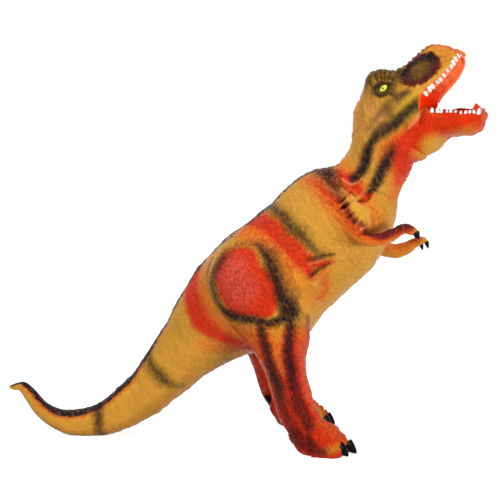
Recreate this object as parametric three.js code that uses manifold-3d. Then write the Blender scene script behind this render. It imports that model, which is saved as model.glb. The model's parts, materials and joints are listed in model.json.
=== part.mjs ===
// A soft moulded dinosaur toy, stuffed with fibre, standing on two feet and its tail.
// Millimetres, +Z up, +X towards the head, +Y to the animal's left.
// Hollow vinyl skins hold the stuffing. Each limb has a flanged plug that snaps into a hole
// in the body's wall and turns there.

import * as THREE from 'three';
import { mergeVertices } from 'three/addons/utils/BufferGeometryUtils.js';
import Module from 'manifold-3d';

const wasm = await Module();
wasm.setup();

// Moulding and clearances
const wall = 2.4;
const seatGap = 0.3;
const fillGap = 0.4;
const reliefGap = 1;
const turnedSides = 12;
const pocketSides = 20;

// Plugs that hold the limbs, head and tail in the body
const flangeLip = 5;
const flangeThickness = 3;
const hipPlugRadius = 15;
const shoulderPlugRadius = 6;
const neckPlugRadius = 19;
const tailPlugRadius = 17;

// Hip: the round seat in the body's side that the thigh turns in
const hipX = 9;
const hipZ = 164;
const hipSeat = 40;
const hipPocketRadius = 43;
const hipSwing = 10;
const thighWall = 7;
const stride = -32;
const strideDrop = 90;

// Shoulder
const shoulderX = 101;
const shoulderZ = 227.5;
const shoulderSeat = 43;
const shoulderPocketRadius = 14.5;
const armSwing = 20;

// Neck seam and the head's turn towards the animal's right
const neckX = 117.9;
const neckZ = 263.5;
const neckLean = 67.5;
const headTurn = -18;

// Jaw hinge, in the head before it is turned
const jawX = 166;
const jawZ = 315;
const knuckleRadius = 18;
const jawCloses = 22;
const jawGap = 0.7;

// Mouth
const lipInset = 4;
const gumWidth = 2.8;
const toothRadius = 1.7;
const toothLength = 5;
const palateDepth = 6;
const palateMargin = 0.8;
const palateLeast = 3;
const tongueDepth = 5;
const toothSides = 5;
const toothSteps = 12;
const upperToothCount = 22;
const lowerToothCount = 20;

// Eyes
const eyeX = 140;
const eyeZ = 345.2;
const eyeOut = 33.2;
const eyeRadius = 4.6;
const eyeThickness = 3.2;
const eyeSides = 16;

// Claws
const clawLength = 10;
const clawRadius = 4.2;
const fingerClawLength = 6.5;
const fingerClawRadius = 1.7;
const clawCurl = 0.35;
const clawSeat = 4;
const clawHeight = 9.5;
const dewclawX = 44;
const dewclawY = 43.5;
const dewclawZ = 34;
const dewclawRadius = 3.6;

const degrees = Math.PI / 180;
const sideways = new THREE.Vector3(0, 1, 0);

// Each row of a form is one section of it:
// [upper x, upper z, lower x, lower z, half width, sideways place, squareness (1 is an ellipse)]
const tailRows = [
  [-239.6, 52.6, -240.2, 48.6, 1.8, -30.4],
  [-235, 54.5, -237.2, 47.2, 3.6, -30],
  [-225.9, 55.6, -231.3, 46.2, 5.1, -29],
  [-216.2, 47.2, -224.8, 35.7, 6.9, -27],
  [-205.8, 34.5, -216.5, 21.8, 7.9, -24],
  [-192.4, 26.9, -201.1, 7.9, 9.9, -20],
  [-174.7, 26, -179.3, -0.6, 12.4, -16],
  [-154.8, 32.5, -148.9, -0.6, 15.5, -12],
  [-134.7, 47.8, -118.4, 9.9, 19.6, -8],
  [-118.6, 64.1, -93.9, 23.5, 22.6, -5],
  [-102.4, 88.7, -69.6, 42.2, 26.5, -2],
  [-86.1, 114.5, -45.1, 62.1, 31, 0],
];
const torsoRows = [
  tailRows[tailRows.length - 1],
  [-69.4, 145.4, -24.5, 74.9, 37, 0],
  [-52.9, 171.1, 2, 85.8, 43, 0],
  [-36.5, 189.5, 12.2, 87.1, 47, 0],
  [-20.2, 204.8, 40.5, 94.9, 50, 0],
  [4, 222.1, 60.5, 109.5, 52, 0],
  [20.1, 235.2, 76.4, 130, 52.5, 0],
  [36, 251.2, 100.1, 153.5, 52, 0],
  [59.8, 269.1, 123.6, 176.7, 50, 0],
  [74.7, 272.1, 139, 206.6, 46, 0],
  [82.5, 274.1, 145.6, 231.3, 39, 0],
];
const neckRadius = 32.9;
const neckUp = new THREE.Vector3(-Math.sin(neckLean * degrees), 0, Math.cos(neckLean * degrees));
const neckRow = [
  neckX + neckRadius * neckUp.x,
  neckZ + neckRadius * neckUp.z,
  neckX - neckRadius * neckUp.x,
  neckZ - neckRadius * neckUp.z,
  neckRadius,
  0,
];
torsoRows.push(neckRow);
const firstLipRow = 7;
const hollowHeadRows = 12;
const headRows = [
  neckRow,
  [96.5, 287, 156.5, 266, 32.5, 0],
  [101.5, 300.5, 162.5, 277, 33, 0],
  [102, 315, 174.5, 283, 33.5, 0, 0.95],
  [102.5, 328.5, 178.5, 300, 34, 0, 0.9],
  [109, 340, 180.5, 318, 33.5, 0, 0.88],
  [114, 352.5, 179, 333, 32.5, 0, 0.85],
  [117.5, 362.5, 181, 340.5, 31, 0, 0.8],
  [126.5, 366.5, 185, 346, 29, 0, 0.78],
  [138, 364.5, 189.5, 350.5, 26.5, 0, 0.75],
  [152.5, 369.5, 194.5, 355.5, 24.5, 0, 0.75],
  [165, 379.5, 200, 362, 22.5, 0, 0.75],
  [176, 389.5, 204, 368, 20.5, 0, 0.8],
  [190, 389, 207, 374.5, 17, 0, 0.85],
  [200.5, 385, 208, 379.5, 9, 0, 1],
];
const jawRows = [
  [164, 329, 168, 287, 27, 0, 0.9],
  [181, 323.8, 182, 289.5, 28.5, 0, 0.85],
  [192, 323.3, 193.5, 300.5, 27, 0, 0.8],
  [204, 322.4, 204.5, 303, 24.5, 0, 0.8],
  [216, 321.2, 216.5, 303.5, 21, 0, 0.8],
  [225, 320.8, 225, 306.5, 16.5, 0, 0.85],
  [230, 320.5, 229.5, 311.5, 9, 0, 1],
];
const legRows = [
  [24, 205, -6, 205, 10, 34],
  [35, 197, -18, 197, 19, 37],
  [45, 183, -27.6, 183, 29, 40.5],
  [50, 164, -32, 164, 34, 42],
  [51, 145, -26, 147, 33, 43],
  [60, 126, -10, 128, 30, 45],
  [64.5, 108, 5, 107, 26, 48],
  [61.5, 90, 15.5, 89, 22, 51],
  [62.5, 76, 22.5, 75, 19, 53.5],
  [66.5, 63, 28, 61, 17.5, 55.5],
  [70, 49, 33, 45, 16.5, 57],
  [75.5, 37, 38, 29.5, 15.5, 57],
  [84, 29.5, 46.5, 18, 15.5, 57],
  [92, 22, 57, 8, 14, 57],
];
const footRows = [
  [52.5, 16, 52.5, 5, 8, 57, 0.8],
  [57.5, 22, 57.5, -2, 13.5, 57, 0.75],
  [67, 27, 67, -2, 16.5, 57, 0.75],
  [80, 27.5, 80, -2, 18.5, 57, 0.75],
  [91, 24, 91, -2, 18.5, 57, 0.75],
  [99, 14, 99, 0, 13, 57, 0.8],
];
const toeRows = [
  [78, 20, 78, -1, 6.6, 57, 0.85],
  [90, 23, 90, -1, 8, 57, 0.85],
  [99, 19, 99, -1, 7.2, 57, 0.85],
  [104, 12.5, 104, 2.5, 4, 57, 1],
];
const toes = [
  { name: 'outer', reach: -7, spread: 12 },
  { name: 'middle', reach: 0, spread: 0 },
  { name: 'inner', reach: -7, spread: -12 },
];
const upperArmRows = [
  [104.5, 240, 95, 234.5, 5, 45],
  [110, 235, 90.5, 224, 11, 45],
  [116, 226, 97, 213.5, 11.5, 47],
];
const rightArmRows = [
  ...upperArmRows,
  [119, 217.5, 106.5, 205.5, 9.5, 51],
  [121.5, 212.5, 118, 200, 8, 53],
  [130, 212.5, 131, 200, 7, 53],
  [141, 216, 143, 204.5, 6.2, 52.5],
  [151, 221, 154, 212, 5, 52],
  [158.5, 221, 157.5, 212, 6, 51.5],
  [164, 217.5, 160, 211, 5.2, 51],
  [166, 214, 163, 210.5, 2.5, 51],
];
const leftArmRows = [
  ...upperArmRows,
  [122, 213, 103.5, 203, 10, 50],
  [129, 203, 114, 191.5, 9, 51.5],
  [137.5, 195, 127.5, 181.5, 8.5, 52],
  [145, 193.5, 143, 179, 7.6, 52],
  [153, 195.5, 155, 182, 7, 52],
  [160, 199, 164, 189.5, 5.4, 51.5],
  [166, 201.5, 168, 192.5, 5.6, 51],
  [172.5, 200.5, 170.5, 194, 5, 51],
  [174.5, 197.5, 173, 195, 2.5, 51],
];

/** Moves one section by dx, dz in the side view and dy sideways. */
function shifted(row, dx, dz, dy = 0) {
  const [ux, uz, lx, lz, half, place, square = 1] = row;
  return [ux + dx, uz + dz, lx + dx, lz + dz, half, place + dy, square];
}

/** Draws each section in by a distance on all sides, and both ends by the same distance. */
function inset(rows, distance, endDistance = distance) {
  const drawn = rows.map(([ux, uz, lx, lz, half, place, square = 1]) => {
    const length = Math.hypot(ux - lx, uz - lz);
    const x = (ux - lx) / length;
    const z = (uz - lz) / length;
    const row = [ux - x * distance, uz - z * distance, lx + x * distance, lz + z * distance];
    return [...row, half - distance, place, square];
  });
  return trimmed(drawn, endDistance, endDistance);
}

/** Moves the first section forwards and the last one backwards along the form. */
function trimmed(rows, start, end) {
  const out = rows.slice();
  const along = ([ux, uz, lx, lz]) => {
    const length = Math.hypot(ux - lx, uz - lz);
    return [(uz - lz) / length, -(ux - lx) / length];
  };
  const first = along(out[0]);
  out[0] = shifted(out[0], first[0] * start, first[1] * start);
  const last = along(out[out.length - 1]);
  out[out.length - 1] = shifted(out[out.length - 1], -last[0] * end, -last[1] * end);
  return out;
}

/** Mirrors sections to the animal's right (side -1) or keeps them on its left (side 1). */
function onSide(rows, side) {
  return rows.map(([ux, uz, lx, lz, half, place, square = 1]) => {
    return [ux, uz, lx, lz, half, place * side, square];
  });
}

/** A closed skin carried smoothly through the sections, with flat ends. */
function form(rows, sides, ringsPerRow = 2) {
  const through = (pick) => new THREE.CatmullRomCurve3(rows.map(pick), false, 'catmullrom');
  const upper = through((row) => new THREE.Vector3(row[0], row[5], row[1]));
  const lower = through((row) => new THREE.Vector3(row[2], row[5], row[3]));
  const girth = through((row) => new THREE.Vector3(row[4], row[6] ?? 1, 0));
  const rings = (rows.length - 1) * ringsPerRow;
  const positions = [];
  const indices = [];
  const bend = (value, power) => Math.sign(value) * Math.abs(value) ** power;
  for (let ring = 0; ring <= rings; ring += 1) {
    const top = upper.getPoint(ring / rings);
    const bottom = lower.getPoint(ring / rings);
    const { x: half, y: square } = girth.getPoint(ring / rings);
    const middle = top.clone().add(bottom).multiplyScalar(0.5);
    const arm = top.clone().sub(middle);
    for (let side = 0; side < sides; side += 1) {
      const angle = (2 * Math.PI * side) / sides;
      const point = middle.clone().addScaledVector(arm, bend(Math.cos(angle), square));
      point.addScaledVector(sideways, half * bend(Math.sin(angle), square));
      positions.push(point.x, point.y, point.z);
    }
  }
  for (let ring = 0; ring < rings; ring += 1) {
    for (let side = 0; side < sides; side += 1) {
      const next = (side + 1) % sides;
      const a = ring * sides + side;
      const b = (ring + 1) * sides + side;
      const c = (ring + 1) * sides + next;
      const d = ring * sides + next;
      indices.push(a, b, c, a, c, d);
    }
  }
  for (let side = 1; side < sides - 1; side += 1) {
    const end = rings * sides;
    indices.push(0, side, side + 1);
    indices.push(end, end + side + 1, end + side);
  }
  const geometry = new THREE.BufferGeometry();
  geometry.setAttribute('position', new THREE.Float32BufferAttribute(positions, 3));
  geometry.setIndex(indices);
  return solid(geometry);
}

/** A three.js geometry as a solid that can be joined and cut. */
function solid(geometry) {
  const bare = geometry.clone();
  bare.deleteAttribute('normal');
  bare.deleteAttribute('uv');
  const merged = mergeVertices(bare, 1e-4);
  const vertProperties = new Float32Array(merged.attributes.position.array);
  const triVerts = new Uint32Array(merged.index.array);
  return new wasm.Manifold(new wasm.Mesh({ numProp: 3, vertProperties, triVerts }));
}

/** A solid back as a three.js geometry. */
function geometryOf(body) {
  const mesh = body.getMesh();
  const geometry = new THREE.BufferGeometry();
  geometry.setAttribute('position', new THREE.Float32BufferAttribute(mesh.vertProperties, 3));
  geometry.setIndex(Array.from(mesh.triVerts));
  geometry.computeVertexNormals();
  return geometry;
}

/** Places a solid that was turned about Y so that Y runs along a direction from a point. */
function placed(body, origin, direction) {
  const turn = new THREE.Quaternion().setFromUnitVectors(sideways, direction.clone().normalize());
  const matrix = new THREE.Matrix4().compose(origin, turn, new THREE.Vector3(1, 1, 1));
  return body.transform(matrix.toArray());
}

/** A cylinder along a direction, between two distances from its origin. */
function rod(origin, direction, from, to, radius, sides = turnedSides) {
  const geometry = new THREE.CylinderGeometry(radius, radius, to - from, sides);
  geometry.translate(0, (from + to) / 2, 0);
  return placed(solid(geometry), origin, direction);
}

/** The radius of a faceted hole that a faceted round of the given radius turns freely in. */
function holeFor(radius) {
  return radius / Math.cos(Math.PI / turnedSides) + seatGap;
}

/** A hollow plug with a retaining flange. Its origin is the wall's outer face, outward is +direction. */
function plug(origin, direction, radius, bore) {
  const inner = -wall - seatGap;
  const profile = [
    new THREE.Vector2(bore, inner - flangeThickness),
    new THREE.Vector2(radius + flangeLip, inner - flangeThickness),
    new THREE.Vector2(radius + flangeLip, inner),
    new THREE.Vector2(radius, inner),
    new THREE.Vector2(radius, wall),
    new THREE.Vector2(bore, wall),
    new THREE.Vector2(bore, inner - flangeThickness),
  ];
  return placed(solid(new THREE.LatheGeometry(profile, turnedSides)), origin, direction);
}

/** Turns a solid about the lateral axis through a point; positive lifts what lies in front. */
function swung(body, x, z, angle) {
  const matrix = new THREE.Matrix4().makeTranslation(x, 0, z);
  matrix.multiply(new THREE.Matrix4().makeRotationY(-angle * degrees));
  matrix.multiply(new THREE.Matrix4().makeTranslation(-x, 0, -z));
  return body.transform(matrix.toArray());
}

/** A solid less a tool at several angles about a lateral axis, so that it can turn clear of it. */
function relieved(body, tool, x, z, angles) {
  return angles.reduce((left, angle) => left.subtract(swung(tool, x, z, angle)), body);
}

/** A block between two corners. */
function block(minimum, maximum) {
  const size = maximum.clone().sub(minimum);
  const geometry = new THREE.BoxGeometry(size.x, size.y, size.z);
  geometry.translate(minimum.x + size.x / 2, minimum.y + size.y / 2, minimum.z + size.z / 2);
  return solid(geometry);
}

const vec = (x, y, z) => new THREE.Vector3(x, y, z);
const far = 400;
const cutThrough = 1;
const ground = block(vec(-far, -far, -far), vec(far, far, 0));
const group = new THREE.Group();
const neckAxis = vec(Math.cos(neckLean * degrees), 0, Math.sin(neckLean * degrees));
const neckPoint = vec(neckX, 0, neckZ);

const vinyl = (color) => new THREE.MeshStandardMaterial({ color, roughness: 0.45, metalness: 0 });
const ochreVinyl = vinyl('#d39a3d');
const tailVinyl = vinyl('#c9953a');
const headVinyl = vinyl('#c08a36');
const jawVinyl = vinyl('#dc4a1f');
const limbVinyl = vinyl('#c8492a');
const blackVinyl = new THREE.MeshStandardMaterial({ color: '#12121a', roughness: 0.25, metalness: 0 });
const whiteVinyl = new THREE.MeshStandardMaterial({ color: '#f4f1ea', roughness: 0.3, metalness: 0 });
const eyeVinyl = new THREE.MeshStandardMaterial({ color: '#d6d63a', roughness: 0.15, metalness: 0 });
const tongueVinyl = new THREE.MeshStandardMaterial({ color: '#a3140c', roughness: 0.35, metalness: 0 });
const fibre = new THREE.MeshStandardMaterial({ color: '#f2f0ec', roughness: 1, metalness: 0 });

function addMesh(parent, name, body, material) {
  const mesh = new THREE.Mesh(geometryOf(body), material);
  mesh.name = name;
  parent.add(mesh);
  return mesh;
}

// Torso: a hollow moulding with round seats for the legs and arms, closed at both ends by a wall
// that the neck's and the tail's plugs pass through.
const bodySides = 20;
const cavitySides = 12;
const hipPoint = (side) => vec(hipX, side * hipSeat, hipZ);
const shoulderPoint = (side) => vec(shoulderX, side * shoulderSeat, shoulderZ);
const outward = (side) => vec(0, side, 0);
const tailRow = tailRows[tailRows.length - 1];
const tailPoint = vec((tailRow[0] + tailRow[2]) / 2, 0, (tailRow[1] + tailRow[3]) / 2);
const tailInward = vec(tailRow[1] - tailRow[3], 0, tailRow[2] - tailRow[0]).normalize();

function seatPockets(body, widening = 0, deepening = 0) {
  return [-1, 1].reduce((left, side) => {
    const hipRadius = hipPocketRadius + widening;
    const hip = rod(hipPoint(side), outward(side), -deepening, far, hipRadius, pocketSides);
    const shoulderRadius = shoulderPocketRadius + widening;
    const shoulder = rod(shoulderPoint(side), outward(side), -deepening, far, shoulderRadius);
    return left.subtract(hip).subtract(shoulder);
  }, body);
}

const torsoOutside = seatPockets(form(torsoRows, bodySides, 1));
// A faceted boss turns clear of its faceted pocket when it is smaller by the facets' depth and a gap.
const pocketEase = hipPocketRadius * (1 - Math.cos(Math.PI / pocketSides)) + seatGap;
const torsoRelief = seatPockets(form(inset(torsoRows, -reliefGap, 0), bodySides, 1), -pocketEase);
const torsoCavity = seatPockets(form(inset(torsoRows, wall), cavitySides, 1), wall, wall);
let torsoSkin = torsoOutside.subtract(torsoCavity);
const fillInset = wall + fillGap;
let torsoFill = seatPockets(form(inset(torsoRows, fillInset), cavitySides, 1), fillInset, fillInset);
const plugDepth = wall + seatGap + flangeThickness + fillGap;
const plugs = [
  { point: hipPoint(-1), direction: outward(-1), radius: hipPlugRadius },
  { point: hipPoint(1), direction: outward(1), radius: hipPlugRadius },
  { point: shoulderPoint(-1), direction: outward(-1), radius: shoulderPlugRadius },
  { point: shoulderPoint(1), direction: outward(1), radius: shoulderPlugRadius },
  { point: neckPoint, direction: neckAxis, radius: neckPlugRadius },
  { point: tailPoint, direction: tailInward.clone().negate(), radius: tailPlugRadius },
];
for (const { point, direction, radius } of plugs) {
  torsoSkin = torsoSkin.subtract(rod(point, direction, -wall - cutThrough, cutThrough, holeFor(radius)));
  const room = holeFor(radius + flangeLip) + fillGap;
  torsoFill = torsoFill.subtract(rod(point, direction, -plugDepth, far, room));
}
addMesh(group, 'torso_skin', torsoSkin, ochreVinyl);
addMesh(group, 'torso_stuffing', torsoFill, fibre);

// Tail: a hollow moulding with a solid tip, plugged into the torso and resting on the ground.
const tailSides = 12;
const tailCavitySides = 10;
const firstHollowTailRow = 5;
const tailShape = form(trimmed(tailRows, 0, seatGap), tailSides, 1).subtract(ground);
const hollowTail = tailRows.slice(firstHollowTailRow);
const tailBore = tailPlugRadius - wall;
const tailPlug = plug(tailPoint, tailInward.clone().negate(), tailPlugRadius, tailBore);
const tailSkin = tailShape
  .add(tailPlug)
  .subtract(form(inset(hollowTail, wall), tailCavitySides, 1))
  .subtract(rod(tailPoint, tailInward, -wall - seatGap - cutThrough, plugDepth, tailBore));
addMesh(group, 'tail_skin', tailSkin, tailVinyl);
addMesh(group, 'tail_stuffing', form(inset(hollowTail, fillInset), tailCavitySides, 1), fibre);

// Head: neck, skull and upper jaw in one hollow moulding, modelled looking straight ahead and
// then turned about the neck seam.
const headSides = 16;
const headCavitySides = 10;
const palateSides = 10;
const head = new THREE.Group();
head.position.copy(neckPoint);
head.quaternion.setFromAxisAngle(neckAxis, headTurn * degrees);
const straight = new THREE.Group();
straight.position.copy(neckPoint).negate();
head.add(straight);
group.add(head);

const jawPoint = vec(jawX, 0, jawZ);
const throughHead = (radius) => rod(jawPoint, sideways, -far, far, radius);
const headForm = form(trimmed(headRows, seatGap, 0), headSides, 1);
const lipRows = headRows.slice(firstLipRow, headRows.length - 1);

/** Sections of the mouth's roof: hollowed into the upper jaw from below, inside the lips. */
function palateRows(extra) {
  const rows = lipRows.map(([ux, uz, lx, lz, half]) => {
    const length = Math.hypot(ux - lx, uz - lz);
    const depth = (palateDepth + extra) / length;
    const below = (palateDepth * 2) / length;
    const roof = [lx + (ux - lx) * depth, lz + (uz - lz) * depth];
    const open = [lx - (ux - lx) * below, lz - (uz - lz) * below];
    const inside = half - lipInset - gumWidth - palateMargin;
    return [...roof, ...open, Math.max(inside, palateLeast) + extra, 0];
  });
  return trimmed(rows, -extra, -extra);
}

/** The line that a row of teeth stands on: back along one side, round the front and up the other. */
function gumLine(rows, edge, drop) {
  const right = rows.map((row) => {
    const length = Math.hypot(row[0] - row[2], row[1] - row[3]);
    const x = row[edge] - ((row[0] - row[2]) / length) * drop;
    const z = row[edge + 1] - ((row[1] - row[3]) / length) * drop;
    return vec(x, lipInset - row[4], z);
  });
  const left = right.map((p) => vec(p.x, -p.y, p.z)).reverse();
  return new THREE.CatmullRomCurve3([...right, ...left], false, 'catmullrom');
}

/** A band of square section along a line. */
function band(line, width, steps) {
  const h = width / 2;
  const section = new THREE.Shape([
    new THREE.Vector2(-h, -h),
    new THREE.Vector2(h, -h),
    new THREE.Vector2(h, h),
    new THREE.Vector2(-h, h),
  ]);
  return solid(new THREE.ExtrudeGeometry(section, { extrudePath: line, steps, bevelEnabled: false }));
}

/** A row of cone teeth on a band, all pointing one way. */
function teeth(line, pointing, count) {
  let row = band(line, gumWidth, toothSteps);
  for (let tooth = 0; tooth < count; tooth += 1) {
    const at = line.getPointAt((tooth + 0.5) / count);
    const cone = new THREE.ConeGeometry(toothRadius, toothLength, toothSides);
    cone.translate(0, toothLength / 2, 0);
    row = row.add(placed(solid(cone), at, pointing));
  }
  return row;
}

const gumSink = 0.5;
const upperGum = gumLine(lipRows, 2, -gumSink);
const lowerGum = gumLine(jawRows.slice(2), 0, gumSink);
const upperPointing = vec(0.62, 0, -0.78);
const lowerPointing = vec(0.05, 0, 1);

const headFillCut = (extra) => (body) => body
  .subtract(throughHead(knuckleRadius + seatGap + extra))
  .subtract(form(palateRows(extra), palateSides, 1))
  .subtract(band(upperGum, gumWidth + 2 * extra, toothSteps));
const hollowHead = headRows.slice(0, hollowHeadRows);
const headCavity = headFillCut(wall)(form(inset(hollowHead, wall), headCavitySides, 1));
const headFill = headFillCut(fillInset)(form(inset(hollowHead, fillInset), headCavitySides, 1));
const neckBore = neckPlugRadius - wall;
let headSkin = headForm
  .add(plug(neckPoint, neckAxis, neckPlugRadius, neckBore))
  .subtract(headCavity)
  .subtract(rod(neckPoint, neckAxis, -plugDepth, wall + seatGap + cutThrough, neckBore))
  .subtract(throughHead(holeFor(knuckleRadius)))
  .subtract(form(palateRows(0), palateSides, 1))
  .subtract(band(upperGum, gumWidth + 2 * seatGap, toothSteps));
const eyePoint = (side) => vec(eyeX, side * eyeOut, eyeZ);
for (const side of [-1, 1]) {
  const socket = rod(eyePoint(side), outward(side), -eyeThickness - seatGap, far, holeFor(eyeRadius));
  headSkin = headSkin.subtract(socket);
}
addMesh(straight, 'head_skin', headSkin, headVinyl);
addMesh(straight, 'head_stuffing', headFill, fibre);
addMesh(straight, 'upper_teeth', teeth(upperGum, upperPointing, upperToothCount), whiteVinyl);

// Eyes: domed glossy lenses set in shallow sockets.
const eyeProfile = [
  new THREE.Vector2(0, -eyeThickness),
  new THREE.Vector2(eyeRadius, -eyeThickness),
  new THREE.Vector2(eyeRadius * 0.95, -eyeThickness * 0.45),
  new THREE.Vector2(eyeRadius * 0.65, -eyeThickness * 0.1),
  new THREE.Vector2(0, 0),
];
for (const side of [-1, 1]) {
  const lens = placed(solid(new THREE.LatheGeometry(eyeProfile, eyeSides)), eyePoint(side), outward(side));
  addMesh(straight, side < 0 ? 'right_eye' : 'left_eye', lens, eyeVinyl);
}

// Lower jaw: solid soft vinyl that rocks on a round knuckle between the cheeks.
const jawSides = 12;
const headForJaw = form(inset(headRows, -jawGap, 0), headSides, 1)
  .subtract(throughHead(holeFor(knuckleRadius) - seatGap / 2));
const knuckle = throughHead(knuckleRadius).intersect(headForm);
const jawReliefs = 7;
const jawSteps = Array.from({ length: jawReliefs }, (_, step) => (-jawCloses * step) / (jawReliefs - 1));
const tongueSides = 12;
const tongueRows = jawRows.slice(1, -1).map(([x, z, , , half]) => {
  return [x, z + tongueDepth, x, z - tongueDepth, half - 2 * lipInset, 0];
});
const mouthFloor = form(tongueRows, tongueSides, 1);
const jawTop = block(vec(0, -far, 0), vec(far, far, jawRows[3][1]));
const jawSkin = relieved(form(jawRows, jawSides, 1).add(knuckle), headForJaw, jawX, jawZ, jawSteps)
  .subtract(mouthFloor)
  .subtract(band(lowerGum, gumWidth + 2 * seatGap, toothSteps));
addMesh(straight, 'jaw_skin', jawSkin, jawVinyl);
addMesh(straight, 'lower_teeth', teeth(lowerGum, lowerPointing, lowerToothCount), whiteVinyl);
const tongue = form(inset(tongueRows, seatGap), tongueSides, 1).intersect(jawTop);
addMesh(straight, 'tongue', relieved(tongue, headForJaw, jawX, jawZ, jawSteps), tongueVinyl);

/** A curved claw: its root at a point, growing along one direction and curling towards another. */
function claw(root, direction, curl, length, radius, sides = 8) {
  const rings = 4;
  const narrowing = 0.92;
  const positions = [];
  const indices = [];
  const across = direction.clone().cross(curl).normalize();
  const up = across.clone().cross(direction).normalize();
  for (let ring = 0; ring < rings; ring += 1) {
    const along = ring / rings;
    const centre = root.clone().addScaledVector(direction, length * along);
    centre.addScaledVector(curl, length * clawCurl * along * along);
    const size = radius * Math.sqrt(1 - along * narrowing);
    for (let side = 0; side < sides; side += 1) {
      const angle = (2 * Math.PI * side) / sides;
      const point = centre.clone().addScaledVector(up, size * Math.cos(angle));
      point.addScaledVector(across, size * Math.sin(angle));
      positions.push(point.x, point.y, point.z);
    }
  }
  const tip = root.clone().addScaledVector(direction, length).addScaledVector(curl, length * clawCurl);
  positions.push(tip.x, tip.y, tip.z);
  for (let ring = 0; ring < rings - 1; ring += 1) {
    for (let side = 0; side < sides; side += 1) {
      const next = (side + 1) % sides;
      const a = ring * sides + side;
      const b = (ring + 1) * sides + side;
      const c = (ring + 1) * sides + next;
      const d = ring * sides + next;
      indices.push(a, c, b, a, d, c);
    }
  }
  const last = (rings - 1) * sides;
  for (let side = 0; side < sides; side += 1) {
    indices.push(last + side, last + ((side + 1) % sides), rings * sides);
  }
  for (let side = 1; side < sides - 1; side += 1) {
    indices.push(0, side + 1, side);
  }
  const geometry = new THREE.BufferGeometry();
  geometry.setAttribute('position', new THREE.Float32BufferAttribute(positions, 3));
  geometry.setIndex(indices);
  return solid(geometry);
}

// Legs: thigh, shin and foot in one hollow moulding with three toes. The flat inside of the thigh
// turns on the torso's round seat. One foot stands a stride behind the other.
const legSides = 12;
const legCavitySides = 10;
const hipLow = 92;
const toeSides = 8;

/** How far a leg stands behind the other one: none for the right leg, a stride for the left one. */
function stepOf(side) {
  return side > 0 ? stride : 0;
}

/** Leg sections on their own side, moved back by more and more of the stride below the hip. */
function stepped(rows, side) {
  return onSide(rows, side).map((row) => {
    const below = (hipZ - (row[1] + row[3]) / 2) / strideDrop;
    const share = Math.sin((Math.PI / 2) * Math.min(1, Math.max(0, below)));
    return shifted(row, stepOf(side) * share, 0);
  });
}

/** The space on the body's side of a leg, up to a distance from the middle, above the hip's low edge. */
function bodySide(side, distance, low = hipLow) {
  const edge = side * distance;
  return block(vec(-far, Math.min(-side * far, edge), low), vec(far, Math.max(-side * far, edge), far));
}

/** A whole leg's outside, swollen by a distance. */
function legShape(side, swell) {
  let leg = form(inset(stepped(legRows, side), -swell, 0), legSides, 1);
  leg = leg.add(form(inset(stepped(footRows, side), -swell, 0), legSides, 1));
  for (const { reach, spread } of toes) {
    const rows = stepped(toeRows.map((row) => shifted(row, reach, 0, spread)), side);
    leg = leg.add(form(inset(rows, -swell), toeSides, 1));
  }
  return leg.subtract(bodySide(side, hipSeat + seatGap - swell));
}

const hipSwings = [-hipSwing, 0, hipSwing];
const legBore = hipPlugRadius - wall;
const toeTipX = toeRows[toeRows.length - 1][0];
const toeY = toeRows[0][5];
for (const side of [-1, 1]) {
  const word = side < 0 ? 'right' : 'left';
  const lining = (extra) => {
    const inner = form(inset(stepped(legRows, side), wall + extra), legCavitySides, 1);
    return inner.subtract(bodySide(side, hipSeat + thighWall + extra));
  };
  const skin = relieved(legShape(side, 0), torsoRelief, hipX, hipZ, hipSwings)
    .add(plug(hipPoint(side), outward(side), hipPlugRadius, legBore))
    .subtract(lining(0))
    .subtract(rod(hipPoint(side), outward(side), -plugDepth, thighWall + cutThrough, legBore))
    .subtract(ground);
  addMesh(group, `${word}_leg_skin`, skin, limbVinyl);
  addMesh(group, `${word}_leg_stuffing`, lining(fillGap), fibre);
  const around = legShape(side, seatGap);
  for (const { name, reach, spread } of toes) {
    const root = vec(toeTipX + reach + stepOf(side) - clawSeat, side * (toeY + spread), clawHeight);
    const shape = claw(root, vec(0.86, 0, -0.5), vec(0, 0, -0.45), clawLength, clawRadius);
    addMesh(group, `${word}_${name}_claw`, shape.subtract(around).subtract(ground), blackVinyl);
  }
  const root = vec(dewclawX + stepOf(side), side * dewclawY, dewclawZ);
  const dewclaw = claw(root, vec(0.25, -0.1 * side, -0.96), vec(0.35, 0, 0), clawLength, dewclawRadius);
  addMesh(group, `${word}_dewclaw`, dewclaw.subtract(around), blackVinyl);
}

// Arms: solid soft vinyl, too thin to stuff, each with a plug in the shoulder's seat.
const armSides = 10;
const fingerSides = 6;
const armBore = 2;
const armSwings = [-armSwing, 0, armSwing];
const arms = [
  { side: -1, rows: rightArmRows, fingers: [vec(-2.5, 2.6, -1.5), vec(0.5, -2.4, 0.5)] },
  { side: 1, rows: leftArmRows, fingers: [vec(-4, 2.6, -1.5), vec(0, -2.4, 0)] },
];
for (const { side, rows: armRows, fingers } of arms) {
  const word = side < 0 ? 'right' : 'left';
  const rows = onSide(armRows, side);
  const shape = form(rows, armSides, 1).subtract(bodySide(side, shoulderSeat + seatGap, 0));
  const pin = plug(shoulderPoint(side), outward(side), shoulderPlugRadius, armBore);
  const arm = relieved(shape, torsoRelief, shoulderX, shoulderZ, armSwings).add(pin);
  addMesh(group, `${word}_arm`, arm, limbVinyl);
  const around = form(inset(rows, -seatGap), armSides, 1);
  const [tipX, tipZ, lowX, lowZ, , tipY] = rows[rows.length - 1];
  const hand = vec((tipX + lowX) / 2, tipY, (tipZ + lowZ) / 2);
  fingers.forEach((place, index) => {
    const root = hand.clone().add(place);
    const curl = vec(-0.3, 0, 0);
    const shape = claw(root, vec(0.35, 0, -0.94), curl, fingerClawLength, fingerClawRadius, fingerSides);
    addMesh(group, `${word}_finger_claw_${index + 1}`, shape.subtract(around), blackVinyl);
  });
}

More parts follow.
